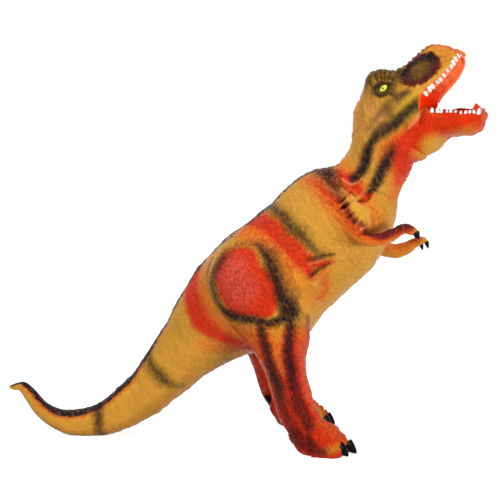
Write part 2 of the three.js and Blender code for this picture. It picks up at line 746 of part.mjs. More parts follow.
// The origin is at the middle of the part's footprint, on the ground.
group.updateMatrixWorld(true);
const bounds = new THREE.Box3().setFromObject(group, true);
group.position.set(-(bounds.min.x + bounds.max.x) / 2, -(bounds.min.y + bounds.max.y) / 2, 0);

export default group;
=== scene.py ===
"""A soft vinyl dinosaur toy, stuffed with fibre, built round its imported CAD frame.

Every length of the toy is in millimetres of its own drawing, +X towards the head, +Y to the animal's
left and +Z up. Each piece is placed in the frame, in metres, as its mesh is made. The stage, the lamps
and the camera are in metres of the frame.
"""
import json

import bpy
import numpy as np
from mathutils import Matrix, Vector


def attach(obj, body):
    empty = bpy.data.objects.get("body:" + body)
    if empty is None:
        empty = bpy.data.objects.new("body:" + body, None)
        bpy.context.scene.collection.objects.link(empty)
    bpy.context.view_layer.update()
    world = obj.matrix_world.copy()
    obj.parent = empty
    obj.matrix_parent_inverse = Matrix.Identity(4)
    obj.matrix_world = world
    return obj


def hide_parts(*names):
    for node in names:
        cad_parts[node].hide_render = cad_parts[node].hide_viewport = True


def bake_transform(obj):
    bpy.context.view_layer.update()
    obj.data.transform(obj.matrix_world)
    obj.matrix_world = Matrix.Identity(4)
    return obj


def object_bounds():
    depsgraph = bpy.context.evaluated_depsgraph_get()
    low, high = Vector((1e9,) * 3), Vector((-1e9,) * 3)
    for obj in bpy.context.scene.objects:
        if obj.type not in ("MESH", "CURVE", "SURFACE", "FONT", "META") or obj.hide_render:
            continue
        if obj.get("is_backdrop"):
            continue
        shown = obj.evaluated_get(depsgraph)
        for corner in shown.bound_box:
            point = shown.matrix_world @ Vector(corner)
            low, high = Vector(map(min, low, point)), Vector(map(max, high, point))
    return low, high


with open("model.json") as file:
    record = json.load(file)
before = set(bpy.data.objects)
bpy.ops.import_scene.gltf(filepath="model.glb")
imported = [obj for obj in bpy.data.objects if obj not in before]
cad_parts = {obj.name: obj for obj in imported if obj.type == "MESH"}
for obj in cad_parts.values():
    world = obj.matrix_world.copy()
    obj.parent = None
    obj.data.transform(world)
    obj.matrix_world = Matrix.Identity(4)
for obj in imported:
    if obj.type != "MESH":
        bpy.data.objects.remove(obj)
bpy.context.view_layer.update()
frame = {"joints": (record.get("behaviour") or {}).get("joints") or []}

# Body and tail: one thick hollow casting of soft PVC, filled with polyester fibre and airbrushed.
# The tail curls up at its tip and lies on the ground behind the feet. The neck's end is open for
# the head's casting, and round bulges of the legs and arms flow into the flanks.
drawn_hip = np.array([9.0, -40.0, 164.0])
joint_places = {joint["name"]: 1000 * np.array(joint["pos_m"]) for joint in frame["joints"]}
drawing_shift = joint_places["right_hip"] - drawn_hip

neck_point = np.array([117.9, 0.0, 263.5])
neck_lean = np.radians(67.5)
neck_radius = 32.9
neck_axis = np.array([np.cos(neck_lean), 0.0, np.sin(neck_lean)])
neck_row = [
    neck_point[0] - neck_radius * np.sin(neck_lean), neck_point[2] + neck_radius * np.cos(neck_lean),
    neck_point[0] + neck_radius * np.sin(neck_lean), neck_point[2] - neck_radius * np.cos(neck_lean),
    neck_radius, 0, 1,
]
# Sections: upper x and z, lower x and z, half width, sideways place, squareness (1 is an ellipse).
body_rows = np.array([
    [-239.6, 52.6, -240.2, 48.6, 1.8, -30.4, 1],
    [-235, 54.5, -237.2, 47.2, 3.6, -30, 1],
    [-225.9, 55.6, -231.3, 46.2, 5.1, -29, 1],
    [-216.2, 47.2, -224.8, 35.7, 6.9, -27, 1],
    [-205.8, 34.5, -216.5, 21.8, 7.9, -24, 1],
    [-192.4, 26.9, -201.1, 7.9, 9.9, -20, 1],
    [-174.7, 26, -179.3, -0.6, 12.4, -16, 1],
    [-154.8, 32.5, -148.9, -0.6, 15.5, -12, 1],
    [-134.7, 47.8, -118.4, 9.9, 19.6, -8, 1],
    [-118.6, 64.1, -93.9, 23.5, 22.6, -5, 1],
    [-102.4, 88.7, -69.6, 42.2, 26.5, -2, 1],
    [-86.1, 114.5, -45.1, 62.1, 31, 0, 1],
    [-69.4, 145.4, -24.5, 74.9, 37, 0, 1],
    [-52.9, 171.1, 2, 85.8, 43, 0, 1],
    [-36.5, 189.5, 12.2, 87.1, 47, 0, 1],
    [-20.2, 204.8, 40.5, 94.9, 50, 0, 1],
    [4, 222.1, 60.5, 109.5, 52, 0, 1],
    [20.1, 235.2, 76.4, 130, 52.5, 0, 1],
    [36, 251.2, 100.1, 153.5, 52, 0, 1],
    [59.8, 269.1, 123.6, 176.7, 50, 0, 1],
    [74.7, 272.1, 139, 206.6, 46, 0, 1],
    [82.5, 274.1, 145.6, 231.3, 39, 0, 1],
    neck_row,
    [96.5, 287, 156.5, 266, 32.5, 0, 1],
])
neck_number = len(body_rows) - 2
leg_rows = np.array([
    [15, 213, 4, 213, 3, 30, 1],
    [24, 205, -6, 205, 10, 34, 1],
    [35, 197, -18, 197, 19, 37, 1],
    [45, 183, -27.6, 183, 29, 40.5, 1],
    [50, 164, -32, 164, 34, 42, 1],
    [51, 145, -26, 147, 33, 43, 1],
    [60, 126, -10, 128, 30, 45, 1],
    [64.5, 108, 5, 107, 26, 48, 1],
    [61.5, 90, 15.5, 89, 22, 51, 1],
    [62.5, 76, 22.5, 75, 19, 53.5, 1],
    [66.5, 63, 28, 61, 17.5, 55.5, 1],
    [70, 49, 33, 45, 16.5, 57, 1],
    [75.5, 37, 38, 29.5, 15.5, 57, 1],
    [84, 29.5, 46.5, 18, 15.5, 57, 1],
    [92, 22, 57, 8, 14, 57, 1],
])
upper_arm_rows = [
    [104.5, 240, 95, 234.5, 5, 45, 1],
    [110, 235, 90.5, 224, 11, 45, 1],
    [116, 226, 97, 213.5, 11.5, 47, 1],
]
right_arm_rows = np.array(upper_arm_rows + [
    [119, 217.5, 106.5, 205.5, 9.5, 51, 1],
    [121.5, 212.5, 118, 200, 8, 53, 1],
    [130, 212.5, 131, 200, 7, 53, 1],
    [141, 216, 143, 204.5, 6.2, 52.5, 1],
    [151, 221, 154, 212, 5, 52, 1],
    [158.5, 221, 157.5, 212, 6, 51.5, 1],
    [164, 217.5, 160, 211, 5.2, 51, 1],
])
left_arm_rows = np.array(upper_arm_rows + [
    [122, 213, 103.5, 203, 10, 50, 1],
    [129, 203, 114, 191.5, 9, 51.5, 1],
    [137.5, 195, 127.5, 181.5, 8.5, 52, 1],
    [145, 193.5, 143, 179, 7.6, 52, 1],
    [153, 195.5, 155, 182, 7, 52, 1],
    [160, 199, 164, 189.5, 5.4, 51.5, 1],
    [166, 201.5, 168, 192.5, 5.6, 51, 1],
    [172.5, 200.5, 170.5, 194, 5, 51, 1],
])
hip_height = drawn_hip[2]
stride = -32.0
stride_drop = 90.0


def spline(rows, number):
    """Catmull-Rom: a smooth curve through the rows, read at whole and part row numbers."""
    ends = np.vstack([2 * rows[0] - rows[1], rows, 2 * rows[-1] - rows[-2]])
    start = np.clip(np.floor(number).astype(int), 0, len(rows) - 2)
    t = (number - start)[..., None]
    a, b, c, d = (ends[start + k] for k in range(4))
    return 0.5 * (2 * b + (c - a) * t + (2 * a - 5 * b + 4 * c - d) * t**2 + (3 * b - a - 3 * c + d) * t**3)


def even_numbers(rows, first, last, spacing):
    """Row numbers from first to last, evenly spaced along the curve through the sections' middles."""
    fine = np.linspace(first, last, 600)
    r = spline(rows, fine)
    middle = np.stack([r[:, 0] + r[:, 2], 2 * r[:, 5], r[:, 1] + r[:, 3]], 1) / 2
    gone = np.concatenate([[0], np.cumsum(np.linalg.norm(np.diff(middle, axis=0), axis=1))])
    return np.interp(np.linspace(0, gone[-1], int(gone[-1] / spacing) + 2), gone, fine)


def circle(count):
    """Evenly spaced angles, once round."""
    return np.linspace(0, 2 * np.pi, count, endpoint=False)


def bend(value, power):
    """The value's power, with its sign."""
    return np.sign(value) * np.abs(value) ** power


def carried(rows, numbers, angles, lower_square=None, upper_square=None):
    """Rings of points: middle + half the chord times cos + half width times sin, raised to squareness.
    The lower and the upper half may each have a squareness of its own."""
    r = spline(rows, numbers)
    upper = r[:, [0, 5, 1]][:, None]
    lower = r[:, [2, 5, 3]][:, None]
    square = r[:, 6][:, None] + 0 * angles
    if lower_square is not None:
        square = np.where(np.cos(angles) < 0, lower_square[:, None], square)
    if upper_square is not None:
        square = np.where(np.cos(angles) > 0, upper_square[:, None], square)
    up = bend(np.cos(angles), square)[..., None]
    out = (r[:, 4][:, None] * bend(np.sin(angles), square))[..., None]
    return (upper + lower) / 2 + (upper - lower) / 2 * up + out * np.array([0, 1.0, 0])


def rounded(grid, length, at_end=True):
    """Adds a dome to one end: rings that shrink by cos while they move out by length times sin."""
    rings = 6
    ring, inner = (grid[-1], grid[-2]) if at_end else (grid[0], grid[1])
    middle = ring.mean(0)
    ahead = middle - inner.mean(0)
    ahead = ahead / np.linalg.norm(ahead)
    turn = np.linspace(0, np.pi / 2, rings + 2)[1:-1][:, None, None]
    dome = middle + (ring - middle) * np.cos(turn) + ahead * length * np.sin(turn)
    return np.concatenate([grid, dome]) if at_end else np.concatenate([dome[::-1], grid])


def outward(grid):
    """Normals of a grid whose columns close: along the rings times along the columns, turned outwards."""
    along = np.gradient(grid, axis=0)
    around = np.roll(grid, -1, 1) - np.roll(grid, 1, 1)
    normal = np.cross(around, along)
    normal /= np.linalg.norm(normal, axis=2, keepdims=True) + 1e-12
    middle = grid.mean(1, keepdims=True)
    flip = np.sign(np.sum(normal * (grid - middle), axis=2).mean())
    return normal * flip


def beyond(rows, points):
    """About how far points lie outside a carried form, along the ray from its section's middle.

    In the side view, the section through a point is where its chord passes through it. With t the
    place on that chord and w the place across, q = (|t|^(2/s) + |w|^(2/s))^(s/2), and the distance
    is ray - ray/q. Far from the form it is large.
    """
    steps = 260
    numbers = np.linspace(0, len(rows) - 1, steps)
    r = spline(rows, numbers)
    x, y, z = points.reshape(-1, 3).T
    ux, uz, lx, lz = r[:, 0], r[:, 1], r[:, 2], r[:, 3]
    side = (ux - lx) * (z[:, None] - lz) - (uz - lz) * (x[:, None] - lx)
    length = (ux - lx) ** 2 + (uz - lz) ** 2
    place = 2 * ((x[:, None] - lx) * (ux - lx) + (z[:, None] - lz) * (uz - lz)) / length - 1
    crossed = side[:, :-1] * side[:, 1:] <= 0
    share = side[:, :-1] / (side[:, :-1] - side[:, 1:] + 1e-12)
    t = place[:, :-1] * (1 - share) + place[:, 1:] * share
    cost = np.where(crossed, np.abs(t), 1e6)
    best = cost.argmin(1)
    pick = np.arange(len(x))
    r = spline(rows, numbers[best] + share[pick, best] * (numbers[1] - numbers[0]))
    t = np.minimum(np.abs(t[pick, best]), 1e3)
    w = np.abs(y - r[:, 5]) / r[:, 4]
    q = (t ** (2 / r[:, 6]) + w ** (2 / r[:, 6])) ** (r[:, 6] / 2) + 1e-6
    ray = np.hypot(t * np.hypot(r[:, 0] - r[:, 2], r[:, 1] - r[:, 3]) / 2, y - r[:, 5])
    found = cost[pick, best] < 1e5
    return np.where(found, ray * (1 - 1 / q), 1000.0).reshape(points.shape[:-1])


def flowing(gap, reach, sink=4.0):
    """The height that lets a form flow into a neighbour: reach/4 where they meet, 0 at reach away.
    Inside the neighbour the skin sinks below it by up to sink."""
    swell = np.clip(1 - np.abs(gap) / reach, 0, 1) ** 2 * reach / 4
    hidden = np.clip(-gap, 0, 40)
    return swell - np.minimum(hidden**2 / (hidden + 6), sink)


def on_side(rows, side):
    """Sections moved to the animal's left (1) or right (-1)."""
    return rows * np.array([1, 1, 1, 1, 1, side, 1])


def stepped(rows, side):
    """Leg sections, moved back below the hip by more and more of the stride on the left side."""
    rows = on_side(rows, side)
    below = np.clip((hip_height - (rows[:, 1] + rows[:, 3]) / 2) / stride_drop, 0, 1)
    back = (stride if side > 0 else 0) * np.sin(np.pi / 2 * below)
    return rows + back[:, None] * np.array([1, 0, 1, 0, 0, 0, 0])


def ripples(points, length, seed):
    """A smooth uneven field of about unit size: seeded sine waves near one wavelength, all directions."""
    waves = 22
    dice = np.random.default_rng(seed)
    ways = dice.normal(size=(waves, 3))
    ways /= np.linalg.norm(ways, axis=1, keepdims=True)
    ways *= (2 * np.pi / length / dice.uniform(0.75, 1.35, waves))[:, None]
    return np.sin(points @ ways.T + dice.uniform(0, 2 * np.pi, waves)).sum(-1) / np.sqrt(waves / 2)


def creases(points, length, seed):
    """Thin valleys between soft lumps, from 0 on the lumps to 1 in a valley: where ripples cross 0."""
    return np.exp(-((ripples(points, length, seed) / 0.28) ** 2))


def brush(points, line, soft):
    """Airbrushed line in the side view: 1 inside its radius, falling smoothly to 0 over a soft edge.
    The line's rows are x, z and radius."""
    best = np.zeros(points.shape[:-1])
    line = np.array(line, float)
    for a, b in zip(line[:-1], line[1:]):
        way = b[:2] - a[:2]
        from_a = points[..., [0, 2]] - a[:2]
        share = np.clip(from_a @ way / (way @ way), 0, 1)
        distance = np.linalg.norm(from_a - share[..., None] * way, axis=-1)
        amount = np.clip((a[2] + share * (b[2] - a[2]) + soft - distance) / (2 * soft), 0, 1)
        best = np.maximum(best, amount * amount * (3 - 2 * amount))
    return best


def folded(points, folds):
    """Folds in the soft skin: each one's height, softness and line. Ridges and grooves are added up apart."""
    bent = points + 0.5 * np.stack([ripples(points, 12, 95 + k) for k in range(3)], -1)
    ridges, grooves = np.zeros(points.shape[:-1]), np.zeros(points.shape[:-1])
    for height, soft, line in folds:
        amount = height * brush(bent, line, soft)
        ridges += np.maximum(amount, 0)
        grooves += np.maximum(-amount, 0)
    return ridges, grooves


def streaks(points, direction, length, seed):
    """Creases drawn out along one direction: that part of each place counts only a quarter."""
    direction = np.array(direction, float) / np.linalg.norm(direction)
    along = (points @ direction)[..., None] * direction
    return creases(points - 0.75 * along, length, seed)


def pebbles(points, size):
    """Raised round scales: 1 on a scale's top, 0 in the valley where two middles are equally near.
    One middle lies somewhere in each cube of the given size, by the broken part of a large sine."""
    shuffle = 7
    mixing = np.array([[127.1, 269.5, 113.5], [311.7, 183.3, 271.9], [74.7, 246.1, 124.6]])
    spots = points / size
    cube = np.floor(spots)
    near = np.full(points.shape[:-1] + (2,), 9.0)
    for step in np.ndindex(3, 3, 3):
        cell = cube + np.array(step) - 1
        scatter = np.sin(cell @ mixing + shuffle) * 43758.5
        distance = np.linalg.norm(cell + scatter - np.floor(scatter) - spots, axis=-1)
        near = np.sort(np.concatenate([near, distance[..., None]], -1), -1)[..., :2]
    return smooth(0.0, 0.45, near[..., 1] - near[..., 0])


def smooth(low, high, value):
    """0 below low, 1 above high, and an S between them."""
    t = np.clip((value - low) / (high - low), 0, 1)
    return t * t * (3 - 2 * t)


def skin_mesh(name, grids, masks=None):
    """One mesh of closed grids, each a stack of rings with a pole at both ends, placed in the frame."""
    corners, loops, starts, paints = [], [], [], {}
    count = 0
    for number, grid in enumerate(grids):
        rings, columns = grid.shape[:2]
        poles = np.stack([grid[0].mean(0), grid[-1].mean(0)])
        corners.append(np.concatenate([grid.reshape(-1, 3), poles]))
        a = np.arange(rings * columns).reshape(rings, columns)
        b = np.roll(a, -1, 1)
        quads = np.stack([a[:-1], a[1:], b[1:], b[:-1]], -1).reshape(-1, 4)
        low, high = rings * columns, rings * columns + 1
        first = np.stack([np.full(columns, low), a[0], b[0]], -1)
        last = np.stack([b[-1], a[-1], np.full(columns, high)], -1)
        centred = grid - grid.mean((0, 1))
        volume = np.sum(np.cross(centred[:-1], centred[1:]) * np.roll(centred[1:], -1, 1))
        if volume < 0:
            quads, first, last = quads[:, ::-1], first[:, ::-1], last[:, ::-1]
        for faces in (quads, first, last):
            done = sum(len(part) for part in loops)
            starts.append(done + np.arange(len(faces)) * faces.shape[1])
            loops.append((faces + count).ravel())
        count += rings * columns + 2
        for key, value in (masks[number] if masks else {}).items():
            ends = [value[0].mean(), value[-1].mean()]
            paints.setdefault(key, []).append(np.concatenate([value.ravel(), ends]))
    corners = (np.concatenate(corners) + drawing_shift) / 1000
    loops, starts = np.concatenate(loops), np.concatenate(starts)
    mesh = bpy.data.meshes.new(name)
    mesh.vertices.add(len(corners))
    mesh.vertices.foreach_set("co", corners.ravel().astype(np.float32))
    mesh.loops.add(len(loops))
    mesh.loops.foreach_set("vertex_index", loops.astype(np.int32))
    mesh.polygons.add(len(starts))
    mesh.polygons.foreach_set("loop_start", starts.astype(np.int32))
    mesh.update(calc_edges=True)
    mesh.validate()
    mesh.polygons.foreach_set("use_smooth", np.ones(len(mesh.polygons), bool))
    sharp_edge = np.radians(70)
    mesh.set_sharp_from_angle(angle=sharp_edge)
    for key, parts in paints.items():
        attribute = mesh.attributes.new(key, "FLOAT", "POINT")
        attribute.data.foreach_set("value", np.concatenate(parts).astype(np.float32))
    piece = bpy.data.objects.new(name, mesh)
    bpy.context.scene.collection.objects.link(piece)
    return piece


def tint(code):
    """An sRGB hex colour as linear red, green, blue and alpha."""
    value = np.array([int(code[i:i + 2], 16) for i in (1, 3, 5)]) / 255
    linear = np.where(value <= 0.04045, value / 12.92, ((value + 0.055) / 1.055) ** 2.4)
    return (*linear, 1.0)


def node(tree, kind, inputs=None, **settings):
    """Adds a node: sets its properties, then links sockets and sets plain values by input name or number."""
    made = tree.nodes.new(kind)
    for key, value in settings.items():
        setattr(made, key, value)
    for key, value in (inputs or {}).items():
        if isinstance(value, bpy.types.NodeSocket):
            tree.links.new(value, made.inputs[key])
        else:
            made.inputs[key].default_value = value
    return made


def blank_material(name):
    """A new material, with its node tree and its shader."""
    material = bpy.data.materials.new(name)
    material.use_nodes = True
    return material, material.node_tree, material.node_tree.nodes["Principled BSDF"]


def airbrushed_vinyl(name, coats, pebble=3.0, relief=0.35, gloss=0.055, mouth=False):
    """Soft PVC, IOR about 1.53, satin from its release agent. Its mould has pebbled scales, and thin
    paint is airbrushed on in coats: each coat's amount is a mesh attribute, broken up at its edge
    where the spray catches only the tops of the scales. On a piece with a mouth, the matt attribute
    takes the gloss away, all of it inside the mouth. Pebble is the scales' width in mm, and relief
    their height in mm. The bump is 2.6 times as deep as that, because scales of the real height
    wouldn't show."""
    roughness = 0.17
    material, tree, shader = blank_material(name)
    place = node(tree, "ShaderNodeTexCoord").outputs["Object"]
    warp = node(tree, "ShaderNodeTexNoise", {"Vector": place, "Scale": 160.0, "Detail": 2.0})
    off = node(tree, "ShaderNodeVectorMath", {0: warp.outputs["Color"], 1: (0.5, 0.5, 0.5)},
               operation="SUBTRACT")
    off = node(tree, "ShaderNodeVectorMath", {0: off.outputs[0], "Scale": 0.0022}, operation="SCALE")
    bent = node(tree, "ShaderNodeVectorMath", {0: place, 1: off.outputs[0]}, operation="ADD").outputs[0]
    scales = node(tree, "ShaderNodeTexVoronoi", {"Vector": bent, "Scale": 1000 / pebble}, feature="F1")
    tops = node(tree, "ShaderNodeMapRange", {"Value": scales.outputs["Distance"], "From Min": 0.1,
                "From Max": 0.75, "To Min": 1.0, "To Max": 0.0}, interpolation_type="SMOOTHSTEP")
    tops = tops.outputs["Result"]
    spray = node(tree, "ShaderNodeTexNoise", {"Vector": place, "Scale": 900.0, "Detail": 3.0,
                 "Roughness": 0.7})
    cloud = node(tree, "ShaderNodeTexNoise", {"Vector": place, "Scale": 38.0, "Detail": 3.0})
    grain = node(tree, "ShaderNodeMath", {0: spray.outputs["Fac"], 1: 0.9}, operation="MULTIPLY").outputs[0]
    grain = node(tree, "ShaderNodeMath", {0: tops, 1: 0.4, 2: grain}, operation="MULTIPLY_ADD").outputs[0]
    colour = tint(coats[0][1])
    for key, code, breakup in coats[1:]:
        amount = node(tree, "ShaderNodeAttribute", attribute_name=key).outputs["Fac"]
        uneven = node(tree, "ShaderNodeMath", {0: grain, 1: -0.65}, operation="ADD").outputs[0]
        uneven = node(tree, "ShaderNodeMath", {0: uneven, 1: breakup, 2: amount},
                      operation="MULTIPLY_ADD").outputs[0]
        share = node(tree, "ShaderNodeMapRange", {"Value": uneven, "From Min": 0.02 + 0.08 * breakup,
                     "From Max": 0.92}).outputs["Result"]
        colour = node(tree, "ShaderNodeMix", {0: share, 6: colour, 7: tint(code)},
                      data_type="RGBA").outputs[2]
    shade = node(tree, "ShaderNodeMapRange", {"Value": cloud.outputs["Fac"], "From Min": 0.3,
                 "From Max": 0.7, "To Min": 0.92, "To Max": 1.04}).outputs["Result"]
    grey = node(tree, "ShaderNodeCombineColor", {0: shade, 1: shade, 2: shade}).outputs[0]
    toned = node(tree, "ShaderNodeMix", {0: 1.0, 6: colour, 7: grey}, data_type="RGBA",
                 blend_type="MULTIPLY")
    tree.links.new(toned.outputs[2], shader.inputs["Base Color"])
    pebbled = node(tree, "ShaderNodeAttribute", attribute_name="pebbled").outputs["Fac"]
    height = node(tree, "ShaderNodeMath", {0: tops, 1: pebbled}, operation="MULTIPLY").outputs[0]
    height = node(tree, "ShaderNodeMath", {0: spray.outputs["Fac"], 1: 0.3, 2: height},
                  operation="MULTIPLY_ADD").outputs[0]
    bump = node(tree, "ShaderNodeBump", {"Height": height, "Strength": 1.0, "Distance": 2.6 * relief / 1000})
    tree.links.new(bump.outputs["Normal"], shader.inputs["Normal"])
    rough = node(tree, "ShaderNodeMapRange", {"Value": cloud.outputs["Fac"], "From Min": 0.3,
                 "From Max": 0.7, "To Min": roughness - 0.04, "To Max": roughness + 0.06})
    rough = rough.outputs["Result"]
    tree.links.new(rough, shader.inputs["Roughness"])
    shader.inputs["IOR"].default_value = 1.53
    shader.inputs["Specular IOR Level"].default_value = gloss
    if mouth:
        matt = node(tree, "ShaderNodeAttribute", attribute_name="matt").outputs["Fac"]
        level = node(tree, "ShaderNodeMapRange", {"Value": matt, "To Min": gloss, "To Max": 0.0})
        tree.links.new(level.outputs["Result"], shader.inputs["Specular IOR Level"])
    return material


# Strokes that the painter lays on both flanks: coat, softness, strength and the line's x, z, radius.
neck_strokes = [
    ("orange", 12, 0.75, [(78, 278, 8), (90, 272, 10), (101, 262, 10), (108, 252, 9)]),
    ("red", 6, 0.95, [(92, 268, 4), (98, 262, 7), (104, 256, 8), (111, 251, 5)]),
    ("orange", 10, 0.8, [(162, 292, 12), (154, 274, 11), (147, 258, 8), (143, 244, 5)]),
    ("red", 7, 0.95, [(164, 294, 10), (157, 278, 8), (151, 266, 6), (147, 258, 3)]),
    ("maroon", 6, 0.85, [(152, 290, 4), (147, 280, 5), (142, 273, 4)]),
    ("umber", 6, 0.6, [(146, 286, 4), (136, 272, 5), (127, 262, 6), (121, 254, 4)]),
    ("dark", 4, 0.95, [(149, 284, 2), (141, 274, 4.6), (131, 264, 5.4), (124, 256, 5.4), (119, 251, 3)]),
    ("umber", 6, 0.6, [(131, 294, 6), (123, 283, 6), (112, 272, 6), (105, 263, 4)]),
    ("dark", 4, 0.95, [(133, 297, 4.6), (130, 292, 5), (123, 283, 5.6), (112.5, 272, 5.2),
                       (104.5, 262, 4.4)]),
]
body_strokes = neck_strokes + [
    ("orange", 8, 0.85, [(-46, 184, 4), (-43, 172, 6), (-42, 158, 8), (-40, 145, 9), (-33, 130, 10),
                         (-22, 118, 9), (-8, 110, 8), (8, 106, 8)]),
    ("red", 6, 1.0, [(-52, 172, 4), (-55, 162, 7), (-55, 148, 9.5), (-50, 135, 11), (-43, 123, 11),
                     (-33, 113, 9), (-20, 107, 7), (-4, 101, 5), (8, 97, 5)]),
    ("orange", 8, 0.8, [(-46, 100, 3), (-36, 97, 5), (-20, 95, 6), (8, 95, 6)]),
    ("umber", 8, 0.35, [(-30, 93, 3), (-10, 93, 5), (10, 95, 6)]),
    ("orange", 8, 0.85, [(-16, 213, 4), (0, 209, 8), (19, 203, 9), (36, 193, 9), (46, 178, 9), (54, 162, 9),
                         (60, 146, 8)]),
    ("red", 6, 0.95, [(2, 221, 7), (15, 219, 11), (32, 210, 12), (43, 200.5, 11), (53.5, 189, 11),
                      (62, 181, 8), (67, 172, 5)]),
    ("red", 4, 0.95, [(56, 190, 7), (66, 186, 6), (76, 183, 4), (84, 184, 2)]),
    ("orange", 8, 0.5, [(79, 176, 5), (78, 164, 7), (75, 150, 8)]),
    ("red", 4, 0.5, [(78, 174, 2.5), (76, 164, 3.5), (79, 157, 2.5), (73, 150, 3)]),
    ("orange", 10, 0.85, [(56, 262, 5), (66, 256, 7), (78, 247, 9), (88, 236, 10), (98, 224, 10),
                          (108, 214, 8)]),
    ("red", 7, 0.8, [(64, 262, 3), (74, 255, 5), (82, 247, 6), (90, 238, 6), (97, 230, 5), (104, 222, 5),
                     (112, 214, 4)]),
    ("red", 3, 0.95, [(112, 241, 3), (117, 246, 4.5), (122, 250, 3)]),
    # A painted highlight: bright yellow along the shoulder's ridge.
    ("yellow", 5, 0.95, [(104, 243, 3), (110, 237, 4.5), (116, 230, 4.5), (119, 222, 3)]),
    ("orange", 10, 0.7, [(122, 240, 5), (126, 226, 8), (127, 214, 8), (134, 206, 4)]),
    ("orange", 6, 0.7, [(119, 234, 3), (124, 225, 4), (123, 215, 4)]),
    # Painted shade under the arm's root, in umber.
    ("umber", 9, 0.4, [(92, 208, 4), (100, 201, 5), (108, 198, 3)]),
    ("maroon", 7, 0.9, [(66, 271, 3), (76, 268, 8), (84, 262, 8), (88, 254, 6), (92, 247, 4)]),
    ("maroon", 2.6, 0.9, [(90, 243, 2), (95, 241, 3), (98, 235, 3.4), (103, 229, 3.4), (108, 224, 2.4),
                          (113, 219, 2)]),
    ("dark", 5, 0.85, [(60, 270, 2), (67, 273, 3.4), (75, 271, 6), (82, 265, 5.4)]),
    ("dark", 4, 0.55, [(82, 262, 4), (88, 253, 4), (93, 246, 3)]),
    # Maroon and dark along the shoulder's grooves: the toy's own dark paint, laid deeper as painted shade.
    ("maroon", 3, 0.7, [(90, 242, 1.4), (97, 245, 1.4)]),
    ("dark", 3, 0.4, [(94, 237, 1.2), (99, 234, 2)]),
    ("dark", 3, 0.4, [(102, 230, 1.4), (105, 228, 2)]),
    ("dark", 3, 0.35, [(107, 228, 1), (108, 222, 1.4)]),
    ("maroon", 3, 0.9, [(113, 224, 1.4), (117, 219, 2), (119, 214, 2.4)]),
    ("umber", 7, 0.8, [(-153, 30, 5), (-152, 20, 6), (-150, 11, 5.4), (-149, 0, 4)]),
    ("dark", 6.5, 0.75, [(-152, 28, 3.6), (-151, 20, 4.2), (-150, 12, 3.6), (-149, 4, 2)]),
    ("olive", 8, 0.8, [(-103, 84, 4), (-97, 77, 6), (-91, 69, 7.4), (-84, 62, 7.4), (-76, 57, 6),
                       (-66, 54, 3)]),
    ("dark", 7, 0.5, [(-99, 79, 3), (-91, 69, 4.6), (-84, 62, 4.6), (-77, 58, 2.6)]),
    ("olive", 7, 0.5, [(22, 237, 5), (40, 226, 7), (56, 211, 7), (70, 198, 5), (82, 190, 3)]),
    ("dark", 5, 0.78, [(14, 236, 3.6), (23.5, 233, 4.2), (35.5, 227, 4.8), (47, 217, 4.8), (55, 208.5, 4.2),
                       (63, 200.5, 3), (70, 195.5, 2), (78, 190.5, 1)]),
    ("umber", 2.4, 0.85, [(62, 187, 1.4), (72, 188.5, 1.8), (86, 190, 1)]),
    ("dark", 1.6, 0.6, [(66, 187.5, 0.8), (76, 189, 1), (84, 190, 0.8)]),
    ("maroon", 3, 0.85, [(64, 170, 2), (71, 176, 3), (79, 181, 2.4)]),
]
thigh_strokes = [
    ("orange", 8, 0.5, [(-37, 186, 4), (-36, 168, 5), (-35, 150, 6), (-30, 136, 6)]),
    ("orange", 8, 0.8, [(-24, 126, 6), (-8, 118, 7), (8, 112, 7)]),
    ("yellow", 7, 0.55, [(50, 170, 4), (56, 154, 6), (61, 140, 6)]),
    ("red", 4, 1.0, [(-3, 177, 22), (0, 168, 24), (12, 158, 24), (20, 150, 18)]),
    ("red", 4, 1.0, [(-5, 162, 18), (4, 152, 19), (24, 146, 13)]),
    # A painted highlight: the lamps' pink sheen on the upper left of the red disc.
    ("rose_highlight", 10, 0.85, [(-6, 176, 14), (2, 160, 16)]),
    ("umber", 5, 0.85, [(10, 203, 5), (0, 203.5, 5), (-12, 199, 5), (-20, 190, 5), (-25, 178, 4.6),
                        (-28, 165, 4.4), (-27, 155, 4.4), (-23, 145, 5), (-16, 137, 6), (-8, 134, 6)]),
    ("dark", 5.5, 0.62, [(0, 203, 1.4), (-6, 202, 2.4), (-12, 199, 4), (-20, 190, 5), (-25, 178, 4.4),
                         (-28, 165, 4), (-27, 155, 4), (-23, 145, 4.4), (-16, 137, 5)]),
    ("umber", 5.5, 0.85, [(0, 203.5, 5), (10, 202, 5.4), (20, 197, 6.4), (27, 187, 7.4), (32, 175, 7.4),
                          (37, 162, 7), (41, 150, 6.4), (46, 138, 7)]),
    ("umber", 6, 0.35, [(40, 180, 3), (47, 164, 4), (51, 152, 5)]),
    ("dark", 4.5, 0.85, [(14, 199, 1.4), (20, 195, 2.6), (27, 184, 4), (32, 171, 4.6), (36, 160, 4.6),
                         (40, 150, 4.6), (45, 139, 6.4)]),
    ("dark", 4, 0.9, [(-16, 137, 4), (-8, 134, 5), (0, 132, 5.4), (10, 130, 5.4), (20, 128.5, 5.6),
                      (30, 127, 5.4), (40, 130, 6), (47, 134, 8.5)]),
]


# Each coat's colour, after the bare vinyl's own, and how far the scales break up its edge.
coats = [
    ("base", "#CF9434"),
    ("orange", "#DE6E20", 0.3),
    ("yellow", "#D8A630", 0.2),
    ("red", "#D23210", 0.3),
    # The rose coat is a painted highlight: the pink sheen of the lamps on red paint.
    ("rose_highlight", "#DC503C", 0.2),
    ("maroon", "#74190F", 0.35),
    ("umber", "#643418", 0.35),
    ("olive", "#54420E", 0.25),
    ("dark", "#1C0F16", 0.35),
    ("pale", "#E8965A", 0.2),
]


def lay(paint, key, amount):
    """Lays one coat on a piece: its amount, where that is more than what lies there."""
    paint[key] = np.maximum(paint[key], amount)


